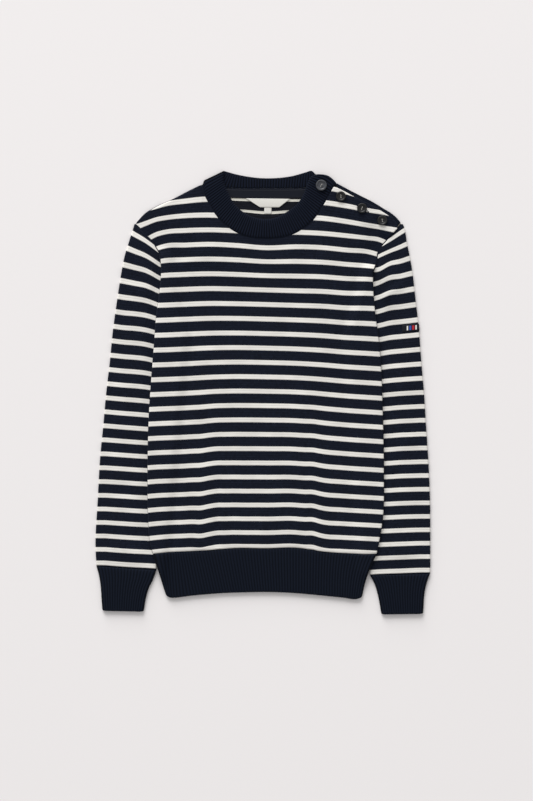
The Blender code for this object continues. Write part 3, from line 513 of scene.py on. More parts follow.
COLLAR = [  # outer x, outer y, inner x, inner y
    (-96.5, 333.5, -62.5, 355.5),
    (-92.5, 318.0, -62.5, 337.5),
    (-84.5, 302.0, -57.0, 323.5),
    (-69.0, 279.0, -46.5, 304.0),
    (-50.5, 263.0, -33.5, 291.0),
    (-25.0, 251.0, -16.0, 281.5),
    (5.0, 247.8, 5.0, 277.5),
    (33.0, 250.0, 23.5, 281.5),
    (59.0, 260.5, 42.0, 292.0),
    (79.0, 276.5, 56.0, 303.5),
    (96.0, 300.5, 66.5, 320.5),
    (105.0, 316.0, 71.5, 335.0),
    (112.0, 329.0, 77.5, 346.0),
    (118.0, 335.5, 86.0, 349.5),
]
COLLAR_AT = smooth_line(lengthwise(COLLAR), COLLAR)
RIGHT_FRONT_DOWN = 7.2  # the front's edge lies this far below the buttoned shoulder's edge
PLACKET_WALL = 2.0
PUFF = 1.7  # how far the cloth rounds up between its edges
BUTTONS = [(93.5, 332.0, 17.6), (125.0, 314.5, 15.8), (158.5, 295.5, 15.8), (191.0, 276.0, 15.8)]  # x, y, diameter

# Soft folds, each a ridge or a trough between two points, as the sweater was laid by hand.
FRONT_FOLDS = [  # x0, y0, x1, y1, half width, height
    (-86.0, -275.0, -92.0, -70.0, 13.0, 1.3),
    (94.0, -275.0, 88.0, -80.0, 13.0, 1.2),
    (-148.0, 196.0, -70.0, 236.0, 12.0, 0.9),
    (158.0, 182.0, 84.0, 228.0, 12.0, 0.8),
    (-138.0, 110.0, -72.0, 44.0, 15.0, 0.7),
    (146.0, 70.0, 84.0, 6.0, 15.0, 0.6),
    (-52.0, -20.0, -8.0, -150.0, 18.0, 0.6),
    (48.0, 90.0, 62.0, -60.0, 18.0, 0.5),
    (-34.0, 226.0, 44.0, 226.0, 9.0, -0.8),
    (-76.0, -268.0, -70.0, -130.0, 6.0, -0.8),
    (82.0, -268.0, 78.0, -140.0, 6.0, -0.7),
    (-158.0, -244.0, -160.0, -150.0, 6.0, 0.6),
    (-128.0, -246.0, -132.0, -196.0, 5.0, 0.6),
    (-112.0, -244.0, -108.0, -206.0, 4.5, -0.5),
    (-44.0, -240.0, -40.0, -186.0, 5.0, 0.5),
    (-22.0, -240.0, -24.0, -204.0, 4.5, -0.4),
    (24.0, -240.0, 22.0, -192.0, 5.0, 0.5),
    (52.0, -240.0, 56.0, -200.0, 4.5, 0.45),
    (124.0, -248.0, 126.0, -190.0, 5.0, 0.6),
    (146.0, -250.0, 150.0, -206.0, 4.5, -0.5),
    (168.0, -246.0, 170.0, -140.0, 6.0, 0.6),
    (-168.0, 232.0, -112.0, 262.0, 8.0, 0.5),
    (-160.0, 206.0, -96.0, 224.0, 6.0, -0.5),
    (184.0, 228.0, 132.0, 244.0, 7.0, 0.5),
    (172.0, 200.0, 112.0, 210.0, 6.0, -0.5),
    (-64.0, 262.0, -92.0, 292.0, 6.0, 0.5),
    (72.0, 256.0, 100.0, 280.0, 6.0, 0.45),
    (-158.0, 60.0, -120.0, -6.0, 9.0, 0.5),
    (166.0, 16.0, 136.0, -70.0, 9.0, 0.45),
]


def ridges(x, y, folds):
    height = np.zeros(np.broadcast(x, y).shape)
    for x0, y0, x1, y1, width, rise in folds:
        ax, ay = x1 - x0, y1 - y0
        t = ((x - x0) * ax + (y - y0) * ay) / (ax * ax + ay * ay)
        aside = np.hypot(x - x0 - ax * t, y - y0 - ay * t)
        height += rise * ease(t / 0.3) * ease((1 - t) / 0.3) * np.exp(-((aside / width) ** 2))
    return height


def away(x, y, place, reach):
    """0 within reach of a place and 1 from twice as far."""
    return ease(np.hypot(x - place[0], y - place[1]) / reach - 1)


def neck_point(along):
    ox, oy, ix, iy = COLLAR_AT(along)
    out = Vector((ox - ix, oy - iy)).normalized() * CURVED_SEAM
    return (ox + out.x, oy + out.y)


NECK = [neck_point(q) for q in np.linspace(0, 0.985, 90)]


def right_front_edge(x):
    return float(RIGHT_SHOULDER_AT(x)) - RIGHT_FRONT_DOWN + 0.6 * math.sin(2 * math.pi * (x - 118) / 60)


def front_top(x):
    if x < NECK[0][0]:
        return float(LEFT_SHOULDER_AT(x))
    if x > NECK[-1][0]:
        return right_front_edge(x)
    return float(np.interp(x, column(NECK, 0), column(NECK, 1)))


def over_placket(x, y):
    below = RIGHT_SHOULDER_AT(x) - y
    rise = (PLACKET_WALL + OVER) * ease((x - 78) / 26) * (1 - ease((below - 32) / 18))
    return np.where(x < 60, 0.0, rise)


def front_height(x, y):
    """z of the front's outer face, without its small unevenness."""
    inside = np.minimum(*[side * (tucked_edge(side, y) - x) - CLEAR for side in (-1, 1)])
    puff = PUFF * ease(inside / 40) * (0.35 + 0.65 * ease((y + 252) / 45))
    top = np.vectorize(front_top)(x)
    puff = puff * (0.25 + 0.75 * ease((top - y) / 35))
    soft = puff + ridges(x, y, FRONT_FOLDS) * ease(inside / 25)
    for button_x, button_y, _ in BUTTONS:
        soft = soft * away(x, y, (button_x, button_y), 14)
    return FLAT + lift(x, y) + soft + over_placket(x, y)


front_tops = [(x, float(LEFT_SHOULDER_AT(x))) for x in np.linspace(LEFT_END, -99.5, 27)]
front_tops += [neck_point(q) for q in np.linspace(0.004, 0.972, 74)]
front_tops += [(x, right_front_edge(x)) for x in np.linspace(119.5, RIGHT_END - 2, 28)]
front = panel(front_tops, front_top, 214, 13)
fx, fy, fdown = front[..., 0], front[..., 1], front[..., 2]
wander = 0.22 * uneven(fx, fy, 34.0, 3.0) + 0.12 * uneven(fx, fy, 13.0, 8.0)
fz = front_height(fx, fy) - fdown + wander * ease((ROUND - fdown) / 1.5 - 0.6)
front_number = stripe_number(fx, fy, BODY_STRIPES, STRIPE_NUMBERS, STRIPE_BENDS)
front_knit = skin("front_knit", np.stack([fx, fy, fz], -1), stripe=front_number, wale=fx / WALE)
front_knit.data.materials.append(STRIPED)
give_wall(front_knit, WALL)
finish_piece(front_knit, "striped_knit", "front")


# The two sleeves
# Each is one piece of the striped knit, sewn to a tube along its underarm and linked into the
# armhole. It lies flat, with its inner part tucked under the body.

SLEEVE_SIDE = [  # height, left x, right x
    (-290.0, -264.8, 267.5),
    (-276.5, -266.0, 268.0),
    (-248.0, -267.5, 268.0),
    (-171.0, -264.0, 267.5),
    (-101.0, -260.0, 264.5),
    (-50.0, -255.0, 261.0),
    (0.0, -250.5, 258.0),
    (52.0, -244.5, 253.5),
    (98.0, -240.0, 250.1),
    (155.0, -232.0, 243.8),
    (193.5, -225.5, 238.8),
    (219.0, -220.0, 234.0),
    (244.0, -212.0, 228.5),
    (264.0, -205.5, 225.0),
    (270.5, -203.5, 222.5),
]
SLEEVE_AT = sides(SLEEVE_SIDE)
SLEEVE_NUMBERS = (0, 5, 10, 15, 19, 20, 21, 22, 23, 24, 25)
SLEEVE_STRIPES = {  # x, then the height of each stripe numbered above
    -1: [
        (-252.0, -270.9, -163.0, -51.8, 62.0, 158.5, 184.5, 212.0, 241.0, 274.0, 306.0, 338.0),
        (-220.0, -273.4, -164.8, -54.4, 58.6, 153.2, 179.0, 205.0, 233.4, 262.4, 291.0, 319.0),
        (-204.0, -274.3, -165.9, -55.6, 57.4, 151.2, 175.8, 201.0, 227.0, 253.6, 280.4, 306.6),
        (-188.0, -275.0, -166.7, -56.8, 55.5, 148.5, 172.5, 196.8, 220.6, 244.4, 268.0, 292.0),
        (-164.0, -276.5, -168.5, -59.0, 49.4, 140.2, 162.0, 184.0, 205.6, 226.4, 247.0, 269.0),
    ],
    1: [
        (170.0, -286.0, -178.5, -70.0, 38.0, 128.5, 149.5, 172.5, 198.0, 212.0, 222.0, 238.0),
        (185.0, -285.0, -177.5, -69.0, 40.5, 131.0, 153.5, 177.0, 198.2, 219.8, 233.8, 250.0),
        (204.0, -284.2, -176.6, -67.7, 43.2, 136.6, 161.0, 185.3, 208.0, 228.0, 245.6, 266.0),
        (220.0, -283.7, -175.8, -66.4, 44.6, 138.5, 163.0, 187.5, 211.3, 234.3, 256.5, 281.0),
        (236.0, -283.0, -175.3, -65.8, 45.9, 140.7, 166.0, 191.4, 216.5, 241.5, 266.5, 292.5),
        (252.0, -282.4, -175.0, -65.1, 47.0, 143.0, 168.5, 194.0, 221.0, 248.0, 276.0, 304.0),
    ],
}
SLEEVE_FOLDS = {  # x0, y0, x1, y1, half width, height
    -1: [
        (-172.0, 186.0, -177.0, 104.0, 5.0, -1.4),
        (-178.0, 150.0, -224.0, 176.0, 7.0, 1.2),
        (-182.0, 118.0, -226.0, 136.0, 8.0, -0.8),
        (-192.0, 20.0, -240.0, 4.0, 10.0, 1.0),
        (-194.0, -62.0, -246.0, -44.0, 10.0, 0.9),
        (-200.0, -150.0, -252.0, -168.0, 11.0, -0.7),
        (-188.0, -262.0, -256.0, -240.0, 9.0, 0.9),
        (-168.0, 186.0, -206.0, 214.0, 5.0, 0.6),
        (-174.0, 172.0, -216.0, 190.0, 4.5, -0.6),
        (-180.0, 92.0, -216.0, 84.0, 6.0, 0.5),
        (-200.0, -256.0, -204.0, -214.0, 4.5, -0.5),
        (-222.0, -262.0, -226.0, -206.0, 5.0, 0.6),
        (-244.0, -258.0, -246.0, -218.0, 4.5, -0.4),
    ],
    1: [
        (186.0, 192.0, 189.5, 96.0, 5.5, -2.0),
        (200.0, 184.0, 202.0, 100.0, 7.0, 0.9),
        (186.0, 146.0, 232.0, 178.0, 7.0, 1.2),
        (194.0, 60.0, 240.0, 44.0, 9.0, -0.8),
        (204.0, -2.0, 250.0, 22.0, 10.0, 1.0),
        (206.0, -88.0, 256.0, -70.0, 10.0, 0.9),
        (204.0, -178.0, 256.0, -192.0, 11.0, -0.7),
        (190.0, -266.0, 258.0, -250.0, 9.0, 0.9),
        (182.0, 170.0, 222.0, 204.0, 5.0, 0.6),
        (184.0, 158.0, 226.0, 186.0, 4.5, -0.6),
        (204.0, -270.0, 208.0, -222.0, 4.5, -0.5),
        (226.0, -274.0, 228.0, -214.0, 5.0, 0.6),
        (248.0, -272.0, 248.0, -228.0, 4.5, -0.4),
    ],
}
TAB_END = (223.0, 103.0)
TAB_EDGE = (248.6, 105.5)


def sleeve_point(side, along, across):
    """x and y on a sleeve, from the armhole to the cuff and from its outer edge to the hidden one."""
    outer_end, inner_x, inner_end = CUFF_SEAM[side]
    outer_y = SHOULDER + (outer_end + SEAM / 2 - SHOULDER) * along
    inner_y = UNDERARM + (inner_end + SEAM / 2 - UNDERARM) * along**1.5
    seam_y = SHOULDER + (UNDERARM - SHOULDER) * across
    gap = CURVED_SEAM * (1.6 - 0.6 * ease(across / 0.1))
    bow = (1 - ease(along / 0.28)) ** 1.5
    outer_x = SLEEVE_AT[side](outer_y)
    tucked_x = tucked_edge(side, inner_y)
    top_x = ARMHOLE_AT[side](SHOULDER)
    low_x = ARMHOLE_AT[side](UNDERARM)
    off_x = ARMHOLE_AT[side](seam_y) + side * gap - (top_x + (low_x - top_x) * across)
    off_y = seam_y - (SHOULDER + (UNDERARM - SHOULDER) * across)
    x = outer_x + (tucked_x - outer_x) * across + off_x * bow
    y = outer_y + (inner_y - outer_y) * across + off_y * bow
    return x, y


def sleeve_height(side, x, y, across):
    seen = ease((side * (x - body_edge(side, y)) - 2) / 14)
    puff = PUFF * ease(across / 0.35) * ease((y + 285) / 40) + ridges(x, y, SLEEVE_FOLDS[side])
    puff = puff + 0.2 * uneven(x, y, 28.0, 5.0 + side)
    if side > 0:
        puff = puff * away(x, y, ((TAB_END[0] + TAB_EDGE[0]) / 2, TAB_END[1]), 34)
    return FLAT + puff * seen


def make_sleeve(side, name, node):
    along = np.linspace(0, 1, 190)[:, None]
    width = np.hypot(*(a - b for a, b in zip(sleeve_point(side, along, 1.0), sleeve_point(side, along, 0.0))))
    turn_in = EDGE_IN[None, :] / width
    turn_down = ROUND * (1 - np.sin(TURNS))
    flat = np.linspace(0.035, 0.965, 40)[None, :] * np.ones_like(width)
    over = np.concatenate([turn_in, flat, 1 - turn_in[:, ::-1]], axis=1)
    over_down = np.concatenate([turn_down, np.zeros(40), turn_down[::-1]])
    lower = np.linspace(0.95, 0.05, 14)[None, :] * np.ones_like(width)
    under = np.concatenate([1 - turn_in[:, 1:], lower, turn_in[:, :0:-1]], axis=1)
    under_up = np.concatenate([turn_down[1:], np.zeros(14), turn_down[:0:-1]])
    x, y = sleeve_point(side, along, over)
    top = np.stack([x, y, sleeve_height(side, x, y, over) - over_down], -1)
    ux, uy = sleeve_point(side, along, under)
    low = np.stack([ux, uy, under_up + np.zeros_like(ux)], -1)
    points = np.concatenate([top, low], axis=1)
    across = np.concatenate([over, 2 - under], axis=1)
    number = stripe_number(points[..., 0], points[..., 1], SLEEVE_STRIPES[side], SLEEVE_NUMBERS)
    obj = skin(name, points, flip=side < 0, ring=True, stripe=number, wale=across * width / WALE)
    obj.data.materials.append(STRIPED)
    give_wall(obj, WALL)
    finish_piece(obj, "striped_knit", node)


make_sleeve(-1, "sleeve_right_arm_knit", "sleeve_right_arm")
make_sleeve(1, "sleeve_left_arm_knit", "sleeve_left_arm")


# The cuffs
# Each is a double rib of the navy yarn, linked to the sleeve's end. Its ribs stand up on both
# sides, and it pulls the sleeve in.

CUFFS = {  # outer x, outer y, inner x, inner y
    -1: [
        (-266.0, -276.5, -170.5, -283.5),
        (-262.0, -291.5, -175.5, -298.0),
        (-259.5, -307.5, -182.0, -311.5),
        (-258.0, -328.5, -187.0, -328.5),
        (-256.5, -348.0, -190.5, -349.5),
    ],
    1: [
        (267.5, -289.0, 171.5, -291.5),
        (262.5, -303.0, 179.0, -305.5),
        (259.0, -318.5, 183.5, -320.5),
        (257.5, -335.0, 187.0, -337.0),
        (256.5, -352.9, 189.8, -353.9),
    ],
}
CUFF_RIBS = 17
RIB = 0.8
RIB_POINTS = 8  # points across one rib


def rib_material(name, light, dark):
    """Rib knit: painted shade darkens it down between the ribs and between its stitches, and each rib is a column of V
    stitches.
    """
    made, n, shader = cloth_material(name, 0.88, 0.05, (0.50, 0.60, 0.80))
    rib = n.number("rib")
    course = n.number("course")
    crest = n.math("ABSOLUTE", n.math("SINE", n.math("MULTIPLY", rib, math.pi)))
    aside = n.math("PINGPONG", rib, 0.5)
    row = n.math("FRACT", n.math("SUBTRACT", course, n.math("MULTIPLY", aside, 1.4)))
    stitch = n.math("SINE", n.math("MULTIPLY", row, math.pi))
    fibre = n.add("ShaderNodeTexNoise", "Fac", Vector=n.add("ShaderNodeTexCoord", "Object"), Scale=900.0, Detail=3.0)
    # Painted shade: darker in the furrows between the ribs and between the rows of stitches. The noise adds random
    # tone.
    tone = n.math("MULTIPLY", n.between(crest, 0.25, 1.0), n.between(stitch, 0.0, 1.0, 0.55, 1.0))
    tone = n.math("ADD", tone, n.math("MULTIPLY", n.math("SUBTRACT", fibre, 0.5), 0.45))
    n.put(shader.inputs["Base Color"], n.blend(tone, dark, light))
    height = n.math("ADD", n.math("MULTIPLY", stitch, 0.7), n.math("MULTIPLY", fibre, 0.3))
    n.put(shader.inputs["Normal"], n.add("ShaderNodeBump", Strength=0.5, Distance=0.0005, Height=height))
    return made


# The dark colour is the painted shade at the bottom of the furrows.
RIBBED = rib_material("ribbed knit", (0.0050, 0.0082, 0.0174, 1), (0.0019, 0.0030, 0.0066, 1))
COURSE = 1.15  # height of one row of stitches in the ribs


def node_tree(name, inputs):
    """An empty Geometry Nodes tree with named inputs: its node writer and its input sockets."""
    tree = bpy.data.node_groups.new(name, "GeometryNodeTree")
    tree.interface.new_socket("Geometry", in_out="INPUT", socket_type="NodeSocketGeometry")
    tree.interface.new_socket("Geometry", in_out="OUTPUT", socket_type="NodeSocketGeometry")
    for key, kind in inputs:
        tree.interface.new_socket(key, in_out="INPUT", socket_type=kind)
    n = Nodes(tree)
    return n, tree.nodes.new("NodeGroupInput").outputs


def close_tree(n, shape, finish):
    """End a tree in Realize Instances and Set Material."""
    real = n.add("GeometryNodeRealizeInstances", Geometry=shape)
    out = n.tree.nodes.new("NodeGroupOutput")
    n.put(out.inputs["Geometry"], n.add("GeometryNodeSetMaterial", Geometry=real, Material=finish))
    return n.tree


def made_by(obj, tree, **inputs):
    """Run a tree on the object, keep what it makes as a plain mesh, and take the tree off."""
    modifier = obj.modifiers.new(tree.name, "NODES")
    modifier.node_group = tree
    for item in tree.interface.items_tree:
        if item.item_type == "SOCKET" and item.in_out == "INPUT" and item.name.replace(" ", "_") in inputs:
            modifier[item.identifier] = inputs[item.name.replace(" ", "_")]
    obj.update_tag()
    evaluated = obj.evaluated_get(bpy.context.evaluated_depsgraph_get())
    mesh = bpy.data.meshes.new_from_object(evaluated)
    obj.modifiers.remove(modifier)
    obj.data = mesh
    mesh.shade_smooth()
    return obj


# The ribs stand out from the knit along its normal: rounded on top, with narrow furrows between.
n, given = node_tree("Ribs", [("Rise", "NodeSocketFloat"), ("Finish", "NodeSocketMaterial")])
rib = n.add("GeometryNodeInputNamedAttribute", "Attribute", {"data_type": "FLOAT"}, Name="rib")
share = n.add("GeometryNodeInputNamedAttribute", "Attribute", {"data_type": "FLOAT"}, Name="rise")
crest = n.math("POWER", n.math("ABSOLUTE", n.math("SINE", n.math("MULTIPLY", rib, math.pi))), 0.6)
rise = n.math("MULTIPLY", n.math("MULTIPLY", crest, share), given["Rise"])
out = n.add("ShaderNodeVectorMath", 0, {"operation": "SCALE"}, Scale=rise)
n.put(out.node.inputs[0], n.add("GeometryNodeInputNormal"))
moved = n.add("GeometryNodeSetPosition", Geometry=given["Geometry"], Offset=out)
RIBS = close_tree(n, moved, given["Finish"])


def make_cuff(side, name, node):
    cuff_at = smooth_line(lengthwise(CUFFS[side]), CUFFS[side])
    along = np.concatenate([np.linspace(0, 0.95, 24), [0.968, 0.982, 0.992, 0.998, 1.0]])
    pull_in = np.concatenate([np.zeros(24), [0.1, 0.4, 1.0, 1.9, 3.0]])  # the edge's rounded corners
    lower = np.concatenate([np.zeros(24), [0.0, 0.05, 0.2, 0.45, 0.8]])  # the edge's rounded lip
    count = CUFF_RIBS * RIB_POINTS
    ribs = np.concatenate([np.zeros(6), np.linspace(0, CUFF_RIBS, count + 1)[1:-1], np.full(6, CUFF_RIBS)])
    ribs = np.concatenate([ribs, np.zeros(5), np.linspace(CUFF_RIBS, 0, count // 2 + 1)[1:-1], np.zeros(5)])
    rows = []
    for q, cut, lip in zip(along, pull_in, lower):
        ox, oy, ix, iy = cuff_at(q)
        outer, inner = Vector((ox, oy)), Vector((ix, iy))
        across = (inner - outer).normalized()
        if q == 0:
            outer += Vector((-across.y, across.x)) * side * SEAM / 2
            inner += Vector((-across.y, across.x)) * side * SEAM / 2
        outer += across * cut
        inner -= across * cut
        width = (inner - outer).length
        span = width - 2 * ROUND
        over = [(d, FLAT - z) for d, z in zip(EDGE_IN, ROUND * (1 - np.sin(TURNS)))]
        over += [(ROUND + span * k / count, FLAT) for k in range(1, count)]
        over += [(width - d, FLAT - z) for d, z in zip(EDGE_IN[::-1], ROUND * (1 - np.sin(TURNS[::-1])))]
        half = count // 2
        under = [(width - d, z) for d, z in zip(EDGE_IN[1:], ROUND * (1 - np.sin(TURNS[1:])))]
        under += [(width - ROUND - span * k / half, RIB) for k in range(1, half)]
        under += [(d, z) for d, z in zip(EDGE_IN[:0:-1], ROUND * (1 - np.sin(TURNS[:0:-1])))]
        loop = [(d, z - lip if z > ROUND else z + lip) for d, z in over + under]
        rows.append([(*(outer + across * d), z) for d, z in loop])
    points = np.array(rows)
    share_row = np.concatenate([[0.0, 0.6], np.ones(24), [0.9, 0.7, 0.4]])
    on_top = np.concatenate([np.zeros(6), np.ones(count - 1), np.zeros(6)])
    on_top = np.concatenate([on_top, np.zeros(5), np.ones(count // 2 - 1), np.zeros(5)])
    down = np.cumsum(np.concatenate([[0.0], np.linalg.norm(np.diff(points[:, 0], axis=0), axis=1)]))
    obj = skin(
        name,
        points,
        flip=side < 0,
        ring=True,
        rib=ribs[None, :] + np.zeros((len(along), 1)),
        rise=share_row[:, None] * on_top[None, :],
        course=down[:, None] / COURSE + np.zeros((1, len(ribs))),
    )
    made_by(obj, RIBS, Rise=RIB * MM, Finish=RIBBED)
    give_wall(obj, WALL - 0.4)
    finish_piece(obj, "rib_knit", node)


make_cuff(-1, "cuff_right_arm_rib", "cuff_right_arm")
make_cuff(1, "cuff_left_arm_rib", "cuff_left_arm")


# The ribbed hem
# A band of the same rib all round the body. Here its front half lies on its back half, and both
# come down to the surface past the cuffs.

HEM_RIBS = 72
HEM_BOW = 3.0


def hem_point(share, down):
    sx, sy, ex, ey = np.moveaxis(HEM_AT(share), -1, 0)
    x = sx + (ex - sx) * down
    y = sy - SEAM / 2 + (ey - sy + SEAM / 2) * down
    x = x - HEM_BOW * np.sin(math.pi * down) * ease((share - 0.7) / 0.3)
    corner = 1.3 * ease((down - 0.95) / 0.05) ** 2
    return x + corner * ((1 - ease(share / 0.05)) - ease((share - 0.95) / 0.05)), y


hem_width = HEM[-1][0] - HEM[0][0]
hem_turn = EDGE_IN / hem_width
hem_flat = np.linspace(hem_turn[-1], 1 - hem_turn[-1], HEM_RIBS * RIB_POINTS + 1)
hem_share = np.concatenate([hem_turn, hem_flat[1:-1], 1 - hem_turn[::-1]])[None, :]
hem_sides = np.concatenate([EDGE_DOWN, np.zeros(len(hem_flat) - 2), EDGE_DOWN[::-1]])
hem_ribs = np.concatenate([np.zeros(6), np.linspace(0, HEM_RIBS, len(hem_flat))[1:-1], np.full(6, HEM_RIBS)])
hem_raised = np.concatenate([np.zeros(6), np.ones(len(hem_flat) - 2), np.zeros(6)])
hem_down = np.concatenate([np.linspace(0, 0.972, 26), [0.982, 0.991, 0.997, 1.0]])[:, None]
hem_lip = np.concatenate([np.zeros(26), [0.06, 0.22, 0.55, 1.0]])[:, None]
hem_rise = np.concatenate([[0.1, 0.7], np.ones(24), [1.0, 0.9, 0.7, 0.4]])[:, None]
hx, hy = hem_point(hem_share, hem_down)
hz = lift(hx, hy) + FLAT - hem_sides - hem_lip
hem_front = skin(
    "hem_front_rib",
    np.stack([hx, hy, hz], -1)[::-1],
    rib=np.repeat(hem_ribs[None, :], 30, axis=0),
    rise=(hem_rise * hem_raised)[::-1],
    course=((hem_down * 70 / COURSE) + 0 * hem_share)[::-1],
)
made_by(hem_front, RIBS, Rise=RIB * MM, Finish=RIBBED)
give_wall(hem_front, WALL)
finish_piece(hem_front, "rib_knit", "hem_front")

back_shares = hem_share[:, ::2]
bhx, bhy = hem_point(back_shares, hem_down)
bhy = bhy - SEAM * (1 - ease(hem_down / 0.1))
bhz = lift(bhx, bhy) + hem_sides[::2] + 0.6 * hem_lip + 0.0
hem_back = skin(
    "hem_back_rib",
    np.stack([bhx, bhy, bhz], -1)[::-1],
    flip=True,
    rib=np.repeat(hem_ribs[None, ::2], 30, axis=0),
    rise=np.zeros_like(bhx),
    course=((hem_down * 70 / COURSE) + 0 * back_shares)[::-1],
)
made_by(hem_back, RIBS, Rise=RIB * MM, Finish=RIBBED)
give_wall(hem_back, WALL)
finish_piece(hem_back, "rib_knit", "hem_back")


# The neckband
# A double band of rib all round the neck. Its back half lies with the inside up, and its front
# half folds over at the wearer's right shoulder and closes with the first button at the left.

COLLAR_RIBS = 69
COLLAR_BACK_RIBS = 39
COLLAR_BASE = 3.2
COLLAR_WALL = 2.4
COLLAR_LENGTH = 300.0
COLLAR_BACK_LENGTH = 165.0
FOLD_BOW = 5.0
END_BOW = 5.5
COLLAR_SECTION = [  # share across, rise
    (0.0, 0.0),
    (0.06, 0.28),
    (0.3, 0.7),
    (0.65, 1.1),
    (0.88, 0.85),
    (0.95, 0.3),
    (0.985, -0.5),
    (1.0, -1.4),
]
FOLD_MIDDLE = (COLLAR_BASE + COLLAR_WALL) / 2
# The neckband's ribs get deeper painted shade between them than the hem's and cuffs'.
NECK_RIBBED = rib_material("ribbed knit, neckband", (0.0064, 0.0102, 0.0230, 1), (0.0005, 0.0008, 0.0022, 1))
COLLAR_BACK_AT = smooth_line(lengthwise(COLLAR_BACK), COLLAR_BACK)


def band_point(at, along, across, bulge, seam):
    ox, oy, ix, iy = np.moveaxis(at(along), -1, 0)
    oy = oy + seam
    length = np.hypot(ix - ox, iy - oy)
    x = ox + (ix - ox) * across + (iy - oy) / length * bulge
    y = oy + (iy - oy) * across + (ox - ix) / length * bulge
    return x, y


fold_turn = np.radians(np.linspace(4, 90, 7))
fold_in = FOLD_MIDDLE * (1 - np.cos(fold_turn))
fold_down = FOLD_MIDDLE * (1 - np.sin(fold_turn))
start = fold_in[-1] / COLLAR_LENGTH
ribs_along = np.linspace(start, 1, COLLAR_RIBS * RIB_POINTS + 1)
along = np.concatenate([fold_in / COLLAR_LENGTH, ribs_along[1:]])[None, :]
rib_row = np.concatenate([np.zeros(7), np.linspace(0, COLLAR_RIBS, len(ribs_along))[1:]])
drop = np.concatenate([fold_down, np.zeros(len(ribs_along) - 1)])
section_at = smooth_line(column(COLLAR_SECTION, 0), column(COLLAR_SECTION, 1))
across = np.concatenate([[0.0, 0.02, 0.05, 0.1], np.linspace(0.16, 0.88, 13), [0.92, 0.95, 0.97, 0.985, 0.995, 1.0]])
across = across[:, None]
bulge = END_BOW * ease((along - 0.93) / 0.07) * np.sin(math.pi * across)
bulge = bulge - FOLD_BOW * (1 - ease(along / 0.06)) * (1 - across) * ease(across / 0.16)
cx, cy = band_point(COLLAR_AT, along, across, bulge, 0.0)
end_lip = 1.1 * ease((along - 0.992) / 0.008)
cz = COLLAR_BASE + COLLAR_WALL + section_at(across) * ease(along / 0.06) - drop - end_lip
cz = cz + 0.18 * uneven(cx, cy, 22.0, 11.0)
collar_rise = np.concatenate([[0.0, 0.4, 0.8], np.ones(14), [1.0, 1.0, 0.9, 0.8, 0.6, 0.4]])[:, None]
collar_front = skin(
    "neckband_front_rib",
    np.stack([cx, cy, cz], -1),
    rib=np.repeat(rib_row[None, :], len(across), axis=0),
    rise=collar_rise * np.where(rib_row > 0, 1.0, 0.0)[None, :],
    course=across * 34 / COURSE + 0 * along,
)
made_by(collar_front, RIBS, Rise=RIB * MM, Finish=NECK_RIBBED)
give_wall(collar_front, COLLAR_WALL)
finish_piece(collar_front, "rib_knit", "collar_front")

BACK_RIB = 0.5
under_in = fold_in[1:] / COLLAR_BACK_LENGTH
b_start = WALL / COLLAR_BACK_LENGTH
b_along = np.linspace(b_start, 1, COLLAR_BACK_RIBS * RIB_POINTS + 1)[None, :]
b_across = np.concatenate([np.linspace(0, 0.9, 14), [0.94, 0.97, 0.99, 1.0]])[:, None]
b_bulge = -FOLD_BOW * (1 - ease(b_along / 0.11)) * (1 - b_across) * ease(b_across / 0.16)
kx, ky = band_point(COLLAR_BACK_AT, b_along, b_across, b_bulge, CURVED_SEAM)
b_lip = np.concatenate([np.zeros(14), [0.08, 0.3, 0.7, 1.1]])[:, None]
kz = WALL + 0.3 * np.sin(math.pi * b_across) - b_lip + 0 * b_along
b_ribs = np.linspace(0, COLLAR_BACK_RIBS, b_along.shape[1])[None, :] + 0 * b_across
collar_back = skin(
    "neckband_back_rib",
    np.stack([kx, ky, kz], -1),
    rib=b_ribs,
    rise=np.concatenate([[0.3, 0.8], np.ones(12), [1.0, 0.8, 0.6, 0.4]])[:, None] + 0 * b_along,
    course=b_across * 24 / COURSE + 0 * b_along,
)
made_by(collar_back, RIBS, Rise=BACK_RIB * MM, Finish=NECK_RIBBED)
give_wall(collar_back, WALL - 0.25)
finish_piece(collar_back, "rib_knit", "collar_back")


# The shoulder band
# A smooth navy strip that is sewn to the back along the wearer's left shoulder. The front laps
# over it, and the lower three buttons are sewn on it.

PLACKET_ENDS = (119.4, 220.6)
PLACKET_DEPTH = [(0.0, -20.0), (-14.5, -14.2)]


def plain_knit(name, light, dark):
    made, n, shader = cloth_material(name, 0.88, 0.05, (0.50, 0.60, 0.80))
    wale = n.number("wale")
    course = n.number("course")
    aside = n.math("PINGPONG", wale, 0.5)
    row = n.math("FRACT", n.math("SUBTRACT", course, n.math("MULTIPLY", aside, 0.9)))
    stitch = n.math("SINE", n.math("MULTIPLY", row, math.pi))
    fibre = n.add("ShaderNodeTexNoise", "Fac", Vector=n.add("ShaderNodeTexCoord", "Object"), Scale=900.0, Detail=3.0)
    # Painted shade: the colour darkens between the rows of stitches, where the bump dips. The noise adds random tone.
    tone = n.math("ADD", n.math("MULTIPLY", stitch, 0.7), n.math("MULTIPLY", fibre, 0.3))
    n.put(shader.inputs["Base Color"], n.blend(tone, dark, light))
    n.put(shader.inputs["Normal"], n.add("ShaderNodeBump", Strength=0.5, Distance=0.0005, Height=tone))
    return made


